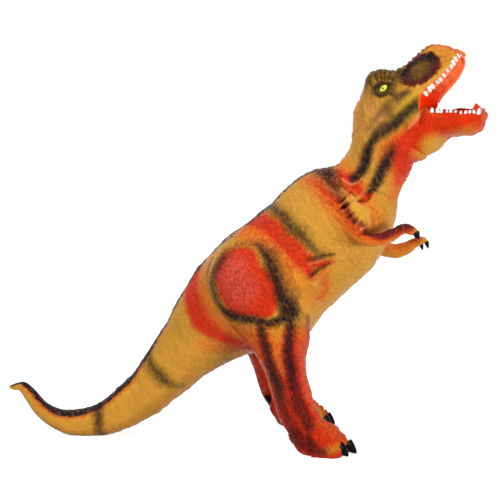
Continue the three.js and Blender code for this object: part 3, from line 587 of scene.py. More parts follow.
def painted(points, strokes, fade=1.0):
    """The amount of each coat, from the strokes that lay it on."""
    paint = {coat[0]: np.zeros(points.shape[:-1]) for coat in coats[1:]}
    wobble = points + 0.8 * np.stack([ripples(points, 26, 5 + k) for k in range(3)], -1)
    for key, soft, strength, line in strokes:
        lay(paint, key, strength * fade * brush(wobble, line, soft))
    return paint


leg_shapes = {side: stepped(leg_rows, side) for side in (-1, 1)}
arm_shapes = {-1: on_side(right_arm_rows, -1), 1: on_side(left_arm_rows, 1)}
# Folds in the soft skin: height, which is below 0 for a groove, softness and the line's x, z, radius.
shoulder_folds = [
    (1.6, 1.5, [(108, 214, 0.7), (114, 217, 0.9), (120, 219, 0.7)]),
    (-1.6, 1.5, [(110, 210, 0.7), (117, 213, 0.9), (124, 213, 0.7)]),
    (1.4, 1.5, [(114, 208, 0.7), (122, 209, 0.9), (130, 208, 0.7)]),
    (-1.2, 1.5, [(122, 216, 0.7), (129, 214, 0.8)]),
    (-1.8, 1.8, [(89, 241.5, 1), (93, 242, 1.4), (97, 245, 0.8)]),
    (1.8, 1.5, [(92, 236, 0.7), (95, 239, 0.9), (99, 243, 0.7)]),
    (-2.2, 1.8, [(94, 235, 1.2), (98, 235, 1.8), (101, 238, 1)]),
    (1.8, 1.5, [(96, 231, 0.7), (100, 234, 0.9), (105, 239, 0.7)]),
    (-2.2, 1.8, [(99, 228, 1.2), (103, 229, 1.8), (107, 232, 1)]),
    (1.8, 1.5, [(101, 224, 0.7), (106, 228, 0.9), (111, 231, 0.7)]),
    (-2.0, 1.6, [(105, 222, 1), (108, 224, 1.4), (111, 227, 0.8)]),
    (1.6, 1.5, [(107, 218, 0.7), (111, 222, 0.9), (115, 226, 0.7)]),
    (-1.8, 1.6, [(114, 224, 0.8), (117, 219, 1), (118, 214, 0.8)]),
    (1.2, 1.6, [(112, 220, 0.8), (115, 213, 0.8)]),
    (1.2, 3, [(104, 243, 2.4), (112, 236, 3), (118, 228, 2.6), (119, 221, 2)]),
    (1.2, 1.5, [(66, 259, 0.5), (78, 254, 0.7), (87, 249, 0.6)]),
    (-1.0, 1.6, [(66, 255, 0.5), (78, 249, 0.7), (87, 244, 0.6)]),
    (1.2, 1.5, [(68, 251, 0.5), (80, 245, 0.7), (88, 239, 0.6)]),
    (-1.0, 1.6, [(72, 245, 0.5), (83, 238, 0.7), (91, 233, 0.6)]),
    (1.0, 1.5, [(76, 240, 0.5), (86, 232, 0.6), (94, 226, 0.5)]),
    (-0.7, 1.8, [(80, 232, 0.5), (90, 224, 0.6), (98, 218, 0.5)]),
    (-1.2, 1.8, [(72, 264, 0.6), (82, 260, 0.8), (90, 254, 0.6)]),
    (1.2, 1.5, [(80, 256, 0.6), (88, 251, 0.8), (94, 247, 0.6)]),
    (1.8, 2, [(94, 262, 0.8), (102, 257, 1.2), (110, 258, 1), (113, 263, 0.8)]),
    (-1.6, 2, [(92, 258, 0.8), (100, 251, 1.2), (108, 247, 0.8)]),
    (-1.2, 2, [(88, 270, 0.8), (92, 258, 1)]),
    (1.3, 1.6, [(98, 252, 0.8), (104, 246, 1), (111, 244, 0.8)]),
    (-1.6, 1.6, [(110, 241, 0.8), (116, 241, 1), (121, 246, 0.8)]),
    (1.4, 2, [(110, 246, 0.8), (116, 252, 1), (122, 254, 0.8)]),
    (-1.0, 1.8, [(120, 258, 0.6), (130, 249, 1), (140, 245, 0.6)]),
    (0.9, 2.4, [(124, 244, 1), (132, 238, 1.2), (140, 238, 1)]),
    (-0.9, 1.8, [(120, 238, 0.6), (128, 230, 0.8), (133, 222, 0.6)]),
    (-0.9, 1.8, [(126, 242, 0.6), (135, 233, 0.8)]),
    (-0.9, 1.8, [(122, 228, 0.6), (125, 218, 0.8)]),
]
flank_folds = [
    (-1.8, 1.8, [(62, 187, 0.8), (72, 189, 1), (87, 191, 0.6)]),
    (-1.8, 1.8, [(65, 169, 0.8), (73, 176, 1.2), (84, 183, 0.6)]),
    (1.2, 2.2, [(62, 182, 1.4), (72, 184, 1.8), (80, 186, 1)]),
    (1.0, 2.6, [(68, 162, 2), (78, 172, 2)]),
    (-0.8, 1.8, [(85, 176, 0.6), (78, 163, 0.8)]),
    (-0.8, 1.8, [(81, 160, 0.6), (75, 150, 0.8)]),
    (-0.8, 1.8, [(88, 170, 0.6), (84, 160, 0.6)]),
    (-0.6, 2, [(92, 192, 0.5), (104, 182, 0.6), (110, 174, 0.5)]),
    (-0.5, 2, [(110, 200, 0.5), (120, 190, 0.6)]),
    (-0.6, 2.2, [(56, 128, 0.8), (66, 138, 0.8), (76, 142, 0.6)]),
]


def hide_relief(points):
    """The body's and the neck's shared surface: soft lumps, folds and creases at the shoulder and neck."""
    relief = 0.35 * ripples(points, 30, 11) + 0.2 * ripples(points, 9, 12)
    neck_base = brush(points, [(84, 272, 12), (100, 258, 16), (116, 250, 14), (140, 246, 10)], 14)
    relief -= 1.3 * neck_base * streaks(points, (0.55, 0, 0.83), 8, 21)
    neck = smooth(258, 275, points[..., 2])
    relief -= 0.6 * neck * streaks(points, (0.3, 0, 0.95), 7, 22)
    front = smooth(60, 120, points[..., 0])
    flank = smooth(30, 80, points[..., 0]) * (1 - neck)
    relief -= 0.4 * flank * streaks(points, (0.35, 0, -0.94), 9, 23)
    return relief - (0.15 + 0.35 * front) * creases(points, 9, 24) + 0.4 * pebbles(points, 4.2)


def crease_shade_and_ridge_highlight(paint, ridges, grooves):
    """Painted shade in the grooves: umber, maroon and dark laid in them, deeper grooves darker,
    and a painted highlight on the ridges, which are laid pale."""
    lay(paint, "umber", 0.7 * smooth(0.3, 1.8, grooves))
    lay(paint, "maroon", 0.6 * smooth(0.8, 2.4, grooves))
    lay(paint, "dark", 0.25 * smooth(1.4, 3.0, grooves))
    lay(paint, "pale", 0.6 * smooth(0.5, 2.2, ridges))


def streaky(paint, points):
    """The dark bands lie thicker in the skin's fine streaks, and the coat below shows between them."""
    fine = 0.5 + 0.5 * ripples(points * np.array([1, 1, 0.5]), 3.6, 31)
    for key in ("dark", "umber", "olive", "maroon"):
        paint[key] = paint[key] * np.clip(1.06 - 0.2 * fine, 0, 1)


body_columns = 240
body_spacing = 1.5
ring_angles = circle(body_columns)
# Places along the body are row numbers, 0 at the tail's tip and 22 at the neck's seam. A few rings
# beyond the seam give its ring the same normals on both sides, and are left out of the mesh.
seam_extra = 3
seam_step = 0.05
past_seam = neck_number + seam_step * np.arange(1, seam_extra + 1)
body_numbers = np.concatenate([even_numbers(body_rows, 0, neck_number, body_spacing), past_seam])
body_grid = carried(body_rows, body_numbers, ring_angles)
body_grid = rounded(body_grid, 2.0, at_end=False)
body_normal = outward(body_grid)
row_at = np.concatenate([np.zeros(len(body_grid) - len(body_numbers)), body_numbers])[:, None]
fold_depth = 1.5
leg_fillet = 26
arm_fillet = 10
ridges, grooves = (fold_depth * amount for amount in folded(body_grid, shoulder_folds + flank_folds))
relief = (hide_relief(body_grid) + ridges - grooves) * smooth(2, 9, row_at)
for side in (-1, 1):
    facing = body_grid[..., 1] * side > 0
    relief += np.where(facing, flowing(beyond(leg_shapes[side], body_grid), leg_fillet), 0)
    relief += np.where(facing, flowing(beyond(arm_shapes[side], body_grid), arm_fillet), 0)
body_skin = body_grid + relief[..., None] * body_normal
body_skin[..., 2] = np.maximum(body_skin[..., 2], 0)
body_paint = painted(body_grid, body_strokes + thigh_strokes)
section = spline(body_rows, row_at[:, 0])
chord = np.hypot(section[:, 0] - section[:, 2], section[:, 1] - section[:, 3])[:, None]
depth = chord / 2 * (1 - np.cos(ring_angles)) + 0.35 * ripples(body_grid, 6, 41)
# The dark stripe along the back, whose width in mm is given at rows from the tail's tip to the neck.
stripe = np.interp(row_at, [0, 2, 4, 5, 6, 7.5, 8.5, 9.5, 10.5, 11.5, 12.5, 16, 19, 22, 23],
                   [1.6, 2.8, 3.4, 4.6, 5.2, 5.4, 5, 4.2, 3.4, 2.6, 2.2, 2.0, 1.6, 1.2, 0])
lay(body_paint, "dark", smooth(1.8, -1.4, depth - stripe))
feather = smooth(3.5, -1.0, depth - stripe - 1.8) * smooth(13, 9, row_at)
lay(body_paint, "red", 0.5 * feather * smooth(0.5, 3, row_at))
# The tail's underside is laid darker in orange and olive, partly its own darker paint and partly painted
# shade. Its top is laid a brighter yellow as a painted highlight where the light falls.
under = smooth(-0.1, -0.95, np.cos(ring_angles))[None] * smooth(15, 10, row_at)
lay(body_paint, "orange", 0.15 * under)
lay(body_paint, "olive", 0.3 * under)
upper = smooth(0.0, 0.6, np.cos(ring_angles))[None] * smooth(12, 9, row_at)
lay(body_paint, "yellow", 0.3 * upper)
crease_shade_and_ridge_highlight(body_paint, ridges, grooves)
streaky(body_paint, body_grid)
body_paint["pebbled"] = 0.3 + 0.3 * smooth(10, 14, row_at) + 0.4 * body_paint["dark"]
body_paint["pebbled"] += 0.5 * body_paint["red"] + 0.7 * body_paint["rose_highlight"]
body_skin = body_skin[:-seam_extra]
body_paint = {key: value[:-seam_extra] for key, value in body_paint.items()}
body = skin_mesh("body_and_tail", [body_skin], [body_paint])
body.data.materials.append(airbrushed_vinyl("soft_vinyl_body", coats))
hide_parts("torso_skin", "torso_stuffing", "tail_skin", "tail_stuffing")
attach(body, "torso")

# Legs: a hollow casting for each, stuffed like the body, from the round of the thigh to three short
# toes. The right foot stands a stride in front of the left one. Both soles are flat.
foot_rows = np.array([
    [49, 22, 50.5, 9, 7, 57, 0.9],
    [55.5, 24, 56, 1, 12.5, 57, 0.8],
    [67, 27, 67, -2, 16, 57, 0.75],
    [80, 27, 80, -2, 18.5, 57, 0.75],
    [91, 23.5, 91, -2, 18.5, 57, 0.75],
    [98, 14, 98, 0, 13, 57, 0.8],
])
toe_rows = np.array([
    [76, 20, 76, -1, 6.6, 57, 0.85],
    [84, 25, 84, -1, 7.6, 57, 0.85],
    [91, 24, 91, -1, 8.2, 57, 0.8],
    [98, 20, 98, -1, 7.4, 57, 0.8],
    [102, 14.5, 102, 1.5, 5.2, 57, 0.9],
])
# How far each toe is moved ahead and to the outer side from its sections' own place.
toes = {
    -1: {"outer": (-7, 12), "middle": (0, 0), "inner": (-7, -12)},
    1: {"outer": (-2, 12), "middle": (3, 0), "inner": (1, -12)},
}
leg_strokes = [
    ("orange", 6, 1.0, [(34, 122, 6), (35, 108, 6), (38, 94, 4.6), (41, 82, 3)]),
    ("yellow", 6, 0.5, [(36, 122, 5), (36, 112, 3)]),
    ("orange", 6, 0.9, [(66, 142, 5), (64, 130, 5), (63, 120, 4)]),
    ("orange", 7, 0.6, [(62, 122, 4), (60, 100, 4), (61, 80, 4), (66, 62, 3), (72, 48, 3)]),
    # A painted highlight: pink along the shin's front edge.
    ("rose_highlight", 6, 0.6, [(62, 108, 5), (61, 90, 5), (63, 74, 5), (69, 58, 5), (77, 44, 5), (86, 32, 4)]),
    ("orange", 6, 0.6, [(8, 122, 5), (16, 104, 4), (24, 86, 3), (31, 66, 3)]),
    ("orange", 5, 0.85, [(80, 8, 2.4), (88, 10, 4.6), (97, 12, 4)]),
    ("orange", 6, 0.5, [(80, 30, 5), (90, 26, 5), (98, 20, 4)]),
    ("yellow", 5, 0.5, [(84, 8, 2), (90, 9, 3), (97, 11, 3)]),
    ("olive", 5, 0.3, [(78, 8, 2), (86, 9, 3), (93, 9, 2)]),
    ("maroon", 5, 0.8, [(21, 124, 4.6), (24, 108, 5), (27, 94, 5.4), (32, 80, 6.4), (37, 68, 6.4),
                        (40, 55, 6), (44, 42, 6), (50, 30, 7)]),
    ("maroon", 5, 0.95, [(48, 122, 4.6), (48, 105, 5.4), (48, 90, 6), (49.5, 76, 6.6), (52, 64, 7),
                         (55, 52, 7.4), (60, 42, 7.4), (66, 30, 8.4)]),
    ("maroon", 5, 0.5, [(44, 74, 2), (47, 60, 3), (51, 48, 3), (56, 36, 4)]),
    ("maroon", 5, 1.0, [(51, 22, 8), (60, 13, 9), (72, 9, 7), (82, 7, 4)]),
    ("umber", 5, 0.6, [(21, 124, 4), (24, 108, 4.4), (27, 94, 4.6), (32, 80, 5), (37, 68, 5), (40, 55, 4)]),
    ("dark", 5, 0.7, [(21, 128, 4.4), (23, 115, 4.4), (25, 104, 4.4), (28, 92, 4.6), (33, 80, 5),
                      (36, 68, 5), (38, 58, 3)]),
    ("dark", 4, 0.3, [(39, 52, 3), (43, 42, 3), (49, 30, 3.4), (56, 20, 3)]),
    ("dark", 4.5, 0.85, [(48, 130, 6), (48, 118, 4.6), (47, 104, 4.2), (47, 90, 4), (48, 76, 3.6),
                         (50, 66, 3)]),
    ("dark", 5, 0.42, [(51, 64, 3.6), (55, 50, 4), (59, 40, 4), (65, 28, 5), (72, 16, 4)]),
]
foot_folds = [
    (-1.2, 1.8, [(80, 29, 0.8), (86, 22, 1), (88, 14, 0.8)]),
    (-1.0, 1.6, [(90, 27, 0.6), (93, 20, 0.8)]),
    (-0.9, 1.6, [(96, 24, 0.6), (98, 17, 0.8)]),
    (-0.8, 2, [(62, 50, 0.8), (74, 42, 0.8)]),
    (-0.7, 2, [(60, 60, 0.6), (70, 54, 0.6)]),
    (-0.8, 2, [(68, 34, 0.6), (80, 34, 0.8)]),
]
leg_columns = {"shin": 180, "foot": 120}
toe_columns = 56
shin_spacing = 1.4
foot_spacing = 1.0
foot_fillet = 7
toe_fillet = 3
knuckle_length = 7.0
for side, word in ((-1, "right"), (1, "left")):
    step = stride if side > 0 else 0.0
    forms = {"shin": leg_shapes[side]}
    forms["foot"] = stepped(foot_rows, side)
    for toe, (reach, spread) in toes[side].items():
        moved = toe_rows + np.array([reach, 0, reach, 0, 0, spread, 0])
        forms[toe] = stepped(moved, side)
    grids, masks = [], []
    for name, rows in forms.items():
        is_toe = name in toes[side]
        angles = circle(leg_columns.get(name, toe_columns))
        numbers = even_numbers(rows, 0, len(rows) - 1, shin_spacing if name == "shin" else foot_spacing)
        grid = carried(rows, numbers, angles)
        if is_toe:
            grid = rounded(grid, 2.4)
        if name == "foot":
            grid = rounded(grid, 3.0, at_end=False)
        normal = outward(grid)
        below = np.clip((hip_height - grid[..., 2]) / stride_drop, 0, 1)
        unstepped = grid - step * np.sin(np.pi / 2 * below)[..., None] * np.array([1, 0, 0])
        relief = 0.3 * ripples(grid, 24, 51) + 0.1 * ripples(grid, 8, 52) + 0.3 * pebbles(grid, 4.2)
        ankle = brush(unstepped, [(60, 40, 14), (76, 24, 14), (96, 20, 10)], 12)
        ridges, grooves = folded(unstepped, foot_folds)
        relief += ridges - grooves - (0.2 + 0.8 * ankle) * creases(grid, 7, 53)
        if is_toe:
            knuckles = 0.7 * np.cos(2 * np.pi * (grid[..., 0] + 0.4 * grid[..., 1]) / knuckle_length)
            relief += knuckles * smooth(0.0, 0.7, np.cos(angles))
        for other, other_rows in forms.items():
            if other != name:
                fillet = toe_fillet if is_toe and other in toes[side] else foot_fillet
                relief += flowing(beyond(other_rows, grid), fillet, 3)
        if name == "shin":
            relief += flowing(beyond(body_rows, grid), leg_fillet)
        skin = grid + relief[..., None] * normal
        skin[..., 2] = np.maximum(skin[..., 2], 0)
        outer = smooth(-8, 10, grid[..., 1] * side - 50)
        paint = painted(unstepped, thigh_strokes + leg_strokes, outer)
        flank = painted(grid, body_strokes, smooth(96, 118, grid[..., 2]))
        paint = {key: np.maximum(paint[key], flank[key]) for key in paint}
        ground = smooth(104, 132, grid[..., 2])
        low_red = (1 - ground) * (1 - 0.8 * paint["orange"]) * (1 - 0.7 * paint["yellow"])
        paint["red"] = np.maximum(paint["red"] * ground, low_red)
        lay(paint, "orange", 0.8 * smooth(136, 112, grid[..., 2]))
        shaded = (1 - outer) * smooth(60, 90, grid[..., 2]) * smooth(140, 120, grid[..., 2])
        lay(paint, "maroon", 0.6 * shaded)
        toe_tops = (1 - outer) * smooth(76, 88, unstepped[..., 0]) * smooth(44, 30, grid[..., 2])
        lay(paint, "orange", toe_tops)
        lay(paint, "yellow", 0.6 * toe_tops)
        paint["red"] *= 1 - 0.9 * toe_tops
        crease_shade_and_ridge_highlight(paint, ridges, grooves)
        streaky(paint, grid)
        paint["pebbled"] = 0.8 + 0.3 * smooth(110, 130, grid[..., 2]) + 0.6 * paint["rose_highlight"]
        grids.append(skin)
        masks.append(paint)
    leg = skin_mesh(word + "_leg", grids, masks)
    leg_vinyl = airbrushed_vinyl("soft_vinyl_" + word + "_leg", coats, relief=0.45, gloss=0.0385)
    leg.data.materials.append(leg_vinyl)
    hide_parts(word + "_leg_skin", word + "_leg_stuffing")
    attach(leg, word + "_leg")

# Arms: small solid castings of the same vinyl with two short fingers. The right forearm is held up
# and level, the left one hangs lower and reaches forward.
finger_rows = np.array([
    [0, 3.2, 0, -3.2, 3, 0, 1],
    [3, 3.0, 3, -3.0, 2.9, 0, 1],
    [6, 2.2, 6, -3.0, 2.5, 0, 1],
    [8.4, 0.6, 8, -3.4, 2.0, 0, 1],
])
# Where each finger's root lies: x, z and y.
hands = {
    -1: [(158.5, 216, -54.2), (160.5, 215.6, -49.4)],
    1: [(164, 195.6, 54.2), (169.6, 198, 49)],
}
arm_strokes = {
    -1: [
        ("orange", 6, 0.9, [(108, 212, 5), (124, 203, 6), (140, 205, 4), (160, 212, 4)]),
        ("red", 4, 0.85, [(110, 216, 3), (118, 211, 4), (132, 209, 4), (146, 213, 3.4), (158, 216, 2)]),
        ("maroon", 3.4, 1.0, [(117, 215, 3), (124, 212, 4), (134, 211, 4.6), (142, 213, 4.6), (152, 218, 4),
                              (162, 219, 3)]),
        ("dark", 3, 0.75, [(117, 216, 1.6), (126, 213.5, 2.4), (134, 213, 2.8), (142, 216, 2.8),
                           (152, 221, 2.4), (160, 221, 1.6)]),
    ],
    1: [
        ("orange", 8, 0.8, [(124, 200, 4), (140, 188, 5), (154, 188, 5), (166, 196, 3)]),
        ("red", 4, 0.6, [(140, 192, 2), (152, 194, 3), (166, 200, 3)]),
        ("maroon", 3, 0.7, [(146, 196, 1.4), (158, 198, 1.6), (168, 202, 1.4)]),
    ],
}
arm_columns = 84
finger_columns = 32
arm_spacing = 0.8
finger_fillet = 2.5
for side, word in ((-1, "right"), (1, "left")):
    forms = {"arm": arm_shapes[side]}
    for number, (x, z, y) in enumerate(hands[side]):
        forms["finger_" + str(number)] = finger_rows + np.array([x - 3, z, x - 3, z, 0, y, 0])
    grids, masks = [], []
    for name, rows in forms.items():
        columns = arm_columns if name == "arm" else finger_columns
        numbers = even_numbers(rows, 0, len(rows) - 1, arm_spacing)
        grid = carried(rows, numbers, circle(columns))
        grid = rounded(grid, 2.0)
        normal = outward(grid)
        relief = 0.2 * ripples(grid, 12, 61) - 0.3 * creases(grid, 6, 62) + 0.15 * pebbles(grid, 3.4)
        for other, other_rows in forms.items():
            if other != name:
                relief += flowing(beyond(other_rows, grid), finger_fillet, 2)
        if name == "arm":
            relief += flowing(beyond(body_rows, grid), arm_fillet)
        skin = grid + relief[..., None] * normal
        paint = painted(grid, body_strokes + arm_strokes[side])
        ridges, grooves = folded(grid, shoulder_folds)
        near_root = smooth(136, 118, grid[..., 0])
        skin = skin + (fold_depth * (ridges - grooves) * near_root)[..., None] * normal
        crease_shade_and_ridge_highlight(paint, ridges * near_root, grooves * near_root)
        streaky(paint, grid)
        paint["pebbled"] = np.full(grid.shape[:2], 0.4)
        grids.append(skin)
        masks.append(paint)
    arm = skin_mesh(word + "_arm_and_fingers", grids, masks)
    arm_vinyl = airbrushed_vinyl("soft_vinyl_" + word + "_arm", coats, pebble=2.0, relief=0.25)
    arm.data.materials.append(arm_vinyl)
    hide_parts(word + "_arm")
    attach(arm, word + "_arm")

# Head and neck: one hollow casting of the same vinyl from the neck's seam to the snout, stuffed too,
# with the brows, cheeks, lips and the mouth's roof in it. It looks a little to the animal's right,
# and the soft neck twists.
head_rows = np.array([
    body_rows[-3].tolist(),
    neck_row,
    [96.5, 287, 156.5, 266, 32.5, 0, 1],
    [101.5, 300.5, 162.5, 277, 33, 0, 1],
    [102, 315, 174.5, 283, 33.5, 0, 0.95],
    [102.5, 328.5, 178.5, 300, 34, 0, 0.9],
    [109, 340, 180.5, 318, 33.5, 0, 0.88],
    [114, 352.5, 179, 333, 32.5, 0, 0.85],
    [117.5, 362.5, 181, 340.5, 31, 0, 0.8],
    [126.5, 366.5, 185, 346, 29, 0, 0.78],
    [138, 364.5, 189.5, 350.5, 26.5, 0, 0.75],
    [152.5, 369.5, 194.5, 355.5, 24.5, 0, 0.75],
    [165, 379.5, 200, 362, 22.5, 0, 0.75],
    [176, 389.5, 204, 368, 20.5, 0, 0.8],
    [190, 389, 207, 374.5, 17, 0, 0.85],
    [200.5, 385, 208, 379.5, 9, 0, 1],
])
jaw_rows = np.array([
    [164, 327, 168, 287, 27, 0, 0.9],
    [181, 323.8, 182, 289.5, 28.5, 0, 0.85],
    [192, 323.3, 193.5, 300.5, 27, 0, 0.8],
    [204, 322.4, 204.5, 303, 24.5, 0, 0.8],
    [216, 321.2, 216.5, 303.5, 21, 0, 0.8],
    [225, 320.8, 225, 306.5, 16.5, 0, 0.85],
    [230, 320.5, 229.5, 311.5, 9, 0, 1],
])
head_turn = np.radians(-18)
neck_twist_length = 30.0
lip_square = 0.34
lip_wall = 3.4


def turned(points, whole=False):
    """Turns points about the neck's axis: not at the seam, and by the full turn a little beyond it."""
    from_neck = points - neck_point
    along = from_neck @ neck_axis
    angle = head_turn * (1 if whole else smooth(0, neck_twist_length, along))
    cos = np.cos(angle) * np.ones(along.shape)
    sin = np.sin(angle) * np.ones(along.shape)
    across = np.cross(neck_axis, from_neck)
    straight = along[..., None] * neck_axis
    return neck_point + straight + cos[..., None] * (from_neck - straight) + sin[..., None] * across


head_strokes = neck_strokes + [
    ("olive", 14, 0.3, [(118, 340, 10), (128, 330, 12), (146, 322, 12), (162, 340, 10)]),
    ("orange", 10, 0.3, [(96, 300, 6), (100, 320, 6), (106, 340, 6)]),
    ("pale", 10, 0.7, [(99, 296, 6), (101, 316, 8), (106, 338, 8), (113, 350, 5)]),
    ("pale", 12, 0.3, [(124, 332, 9), (138, 318, 10), (126, 310, 9)]),
    ("umber", 8, 0.35, [(178, 360, 5), (186, 366, 6), (194, 372, 5)]),
    ("olive", 5, 0.5, [(114, 342, 2), (117, 332, 4), (121, 322, 3)]),
    ("orange", 8, 0.95, [(202, 306, 7), (184, 309, 9), (170, 303, 9), (156, 295, 9), (146, 287, 8),
                         (140, 279, 5)]),
    ("red", 6, 1.0, [(230, 317, 8), (214, 314, 9), (200, 313, 9), (184, 311, 10), (172, 302, 10),
                     (162, 291, 10), (157, 278, 9), (154, 268, 6)]),
    ("yellow", 7, 0.55, [(208, 299, 3), (196, 295, 5), (186, 287, 8), (178, 279, 8), (169, 270, 6),
                         (164, 262, 4)]),
    ("orange", 8, 0.55, [(208, 298, 4), (194, 292, 6), (184, 284, 8), (176, 276, 8), (166, 266, 6)]),
    ("orange", 6, 0.5, [(176, 388, 3), (190, 384, 6), (200, 376, 6), (196, 366, 3)]),
    ("red", 4, 0.75, [(188, 389, 1.8), (198, 387, 2.6), (207, 381, 2.4)]),
    ("maroon", 4, 0.95, [(148, 362, 4), (156, 370, 5), (165, 379, 5), (174, 388, 4.4), (182, 389, 2)]),
    ("maroon", 5, 0.55, [(153, 362, 3), (156, 355, 4), (157, 348, 2)]),
    ("olive", 4, 1.0, [(122, 347, 4), (124, 356, 5), (131, 360, 7), (140, 360, 7), (149, 358, 5)]),
    ("olive", 4, 1.0, [(130, 343, 5), (140, 345, 8), (150, 348, 5)]),
    ("umber", 4, 0.9, [(146, 358, 3), (150, 356, 3.4), (152, 351, 2.6)]),
    ("dark", 1.8, 0.9, [(131.6, 346, 1), (133, 341, 1.4), (138, 338.6, 1.6), (144, 339.6, 1.6),
                        (149, 343.6, 1.2)]),
    ("dark", 1.8, 0.9, [(132.6, 347, 1.2), (136, 350, 1.6), (141, 351.6, 1.8), (147, 351, 1.6),
                        (152, 349, 1)]),
    ("olive", 6, 0.85, [(164, 342, 4), (156, 336, 5.4), (149, 330, 5.8), (142, 323, 5.4), (135, 316, 4),
                        (128, 309, 3)]),
    ("dark", 5, 0.62, [(163, 341, 1.6), (156, 335, 3.2), (149, 329, 4), (142, 322, 3.6), (136, 316, 2.4)]),
    ("yellow", 5, 0.9, [(174, 342, 3), (167, 334, 4), (159, 327, 4.6), (152, 321, 4), (145, 315, 3)]),
    ("olive", 5, 0.9, [(175, 336, 3.4), (171, 328, 5), (165, 322, 5.6), (158, 317, 6.4), (150, 311, 7),
                       (143, 306, 7.6), (136, 301, 7)]),
    ("dark", 5, 0.8, [(173, 332, 2.4), (170, 326, 3.6), (164, 321, 4), (157, 315, 4.8), (149, 309, 5.4),
                      (142, 304, 6), (135, 299, 5.4)]),
    # Painted shade: brown in the pocket at the mouth's corner, over its groove.
    ("umber", 1.8, 0.9, [(179.5, 331, 0.8), (179, 325, 1.8), (177.6, 319, 1.8)]),
    # A painted highlight: pale along the cheek's ridge.
    ("pale", 1.8, 0.6, [(178, 346, 0.8), (176.6, 336, 1.2), (177, 327, 1.4), (174.6, 319, 1.4),
                        (171, 312, 1.4), (165, 306, 1)]),
    ("yellow", 2.6, 0.9, [(183, 349, 1.4), (192, 358, 1.6), (200, 366, 1.8), (208, 375, 2), (212, 378, 2)]),
]
head_folds = [
    (2.4, 4, [(122, 346, 2), (122.5, 356, 3), (130, 360, 3.4), (140, 360.5, 3.4), (151, 358, 2)]),
    (-2.4, 1.3, [(127.6, 346, 0.5), (124, 352, 0.8), (121, 358, 0.8)]),
    (-3.0, 1.3, [(134, 350.6, 0.5), (131.6, 355, 0.9), (129, 360, 0.9), (127.6, 366, 0.8)]),
    (-2.6, 1.2, [(137, 352, 0.4), (136.6, 357, 0.7), (136.4, 366, 0.7)]),
    (-3.0, 1.3, [(140.6, 352.7, 0.5), (141, 358, 0.9), (141.6, 368, 0.9)]),
    (-2.4, 1.2, [(144, 353, 0.5), (145.6, 358, 0.8), (147, 367, 0.8)]),
    (-2.4, 1.3, [(148, 352.5, 0.5), (151, 357, 0.9), (154, 364, 0.8)]),
    (-1.2, 1.6, [(131, 344, 0.6), (134, 338.4, 0.8), (140, 336.2, 0.8), (147, 338, 0.8),
                 (151.6, 345, 0.6)]),
    (1.3, 1.5, [(133, 344, 0.8), (136, 340.4, 1), (141, 339, 1), (146, 341.4, 0.8), (149.4, 346, 0.8)]),
    (1.0, 1.5, [(133, 348, 0.8), (138, 351.6, 1), (145, 352, 0.8), (151, 349.4, 0.8)]),
    (-1.0, 1.6, [(126, 340, 0.6), (128.4, 332, 0.8)]),
    (-0.8, 1.6, [(121, 338, 0.5), (123, 328, 0.6)]),
    (1.3, 1.7, [(178, 345, 0.6), (176.6, 334, 1.4), (176.8, 326, 1.4), (174, 318, 1.4), (170, 311, 1.2),
                (165, 306, 1)]),
    (-2.6, 1.6, [(180, 331, 0.6), (179.4, 325, 1.5), (178, 318.5, 1)]),
    (1.5, 1.8, [(182, 331, 0.7), (184.6, 322, 0.9)]),
    (1.2, 2.4, [(181, 345, 1), (190, 354.6, 1.2), (200, 364.5, 1.2), (208, 373, 1)]),
    (-0.8, 2.0, [(178, 347, 0.6), (188, 358, 0.8), (198, 367, 0.8), (204, 374, 0.6)]),
    (-1.0, 2.4, [(158, 353, 1), (166, 348.5, 1), (178, 353, 1)]),
    (-0.9, 2.2, [(176, 384, 0.8), (184, 379, 1), (189, 370, 0.8)]),
    (0.8, 4, [(166, 372, 2), (176, 380, 2)]),
]
# Places along the head are row numbers too, 1 at the neck's seam and 15 at the snout's end.
head_spacing = 0.95
head_last = len(head_rows) - 1
before_seam = 1 - seam_step * np.arange(seam_extra, 0, -1)
head_numbers = np.concatenate([before_seam, even_numbers(head_rows, 1, head_last, head_spacing)])
# The lower half of a ring is round at the throat, and squarer from there on for the lips and roof.
roof_share = np.interp(head_numbers, [0, 4.2, 5.4, 16], [0, 0, 1, 1])
section = spline(head_rows, head_numbers)
lower_square = section[:, 6] + (lip_square - section[:, 6]) * roof_share
head_grid = carried(head_rows, head_numbers, ring_angles, lower_square=lower_square)
head_grid = rounded(head_grid, 4.0)
row_at = np.concatenate([head_numbers, np.full(len(head_grid) - len(head_numbers), head_last)])[:, None]
ring_up = np.cos(ring_angles)[None]
# The lips draw in behind the front teeth, by this share of their half width.
lip_narrowing = 0.16
narrowing = lip_narrowing * smooth(4.4, 6, row_at) * smooth(12, 8, row_at) * smooth(0.1, 1, -ring_up)
head_grid[..., 1] *= 1 - narrowing
head_normal = outward(head_grid)
section = spline(head_rows, row_at[:, 0])
half_width = section[:, 4][:, None] * (1 - narrowing)
flat = head_grid[..., [0, 2]]
eye_place = np.array([140.5, 345.2])
ridges, grooves = (fold_depth * amount for amount in folded(head_grid, shoulder_folds))
face_ridges, face_grooves = folded(head_grid, head_folds)
ridges, grooves = ridges + face_ridges, grooves + face_grooves
relief = hide_relief(head_grid) + ridges - grooves
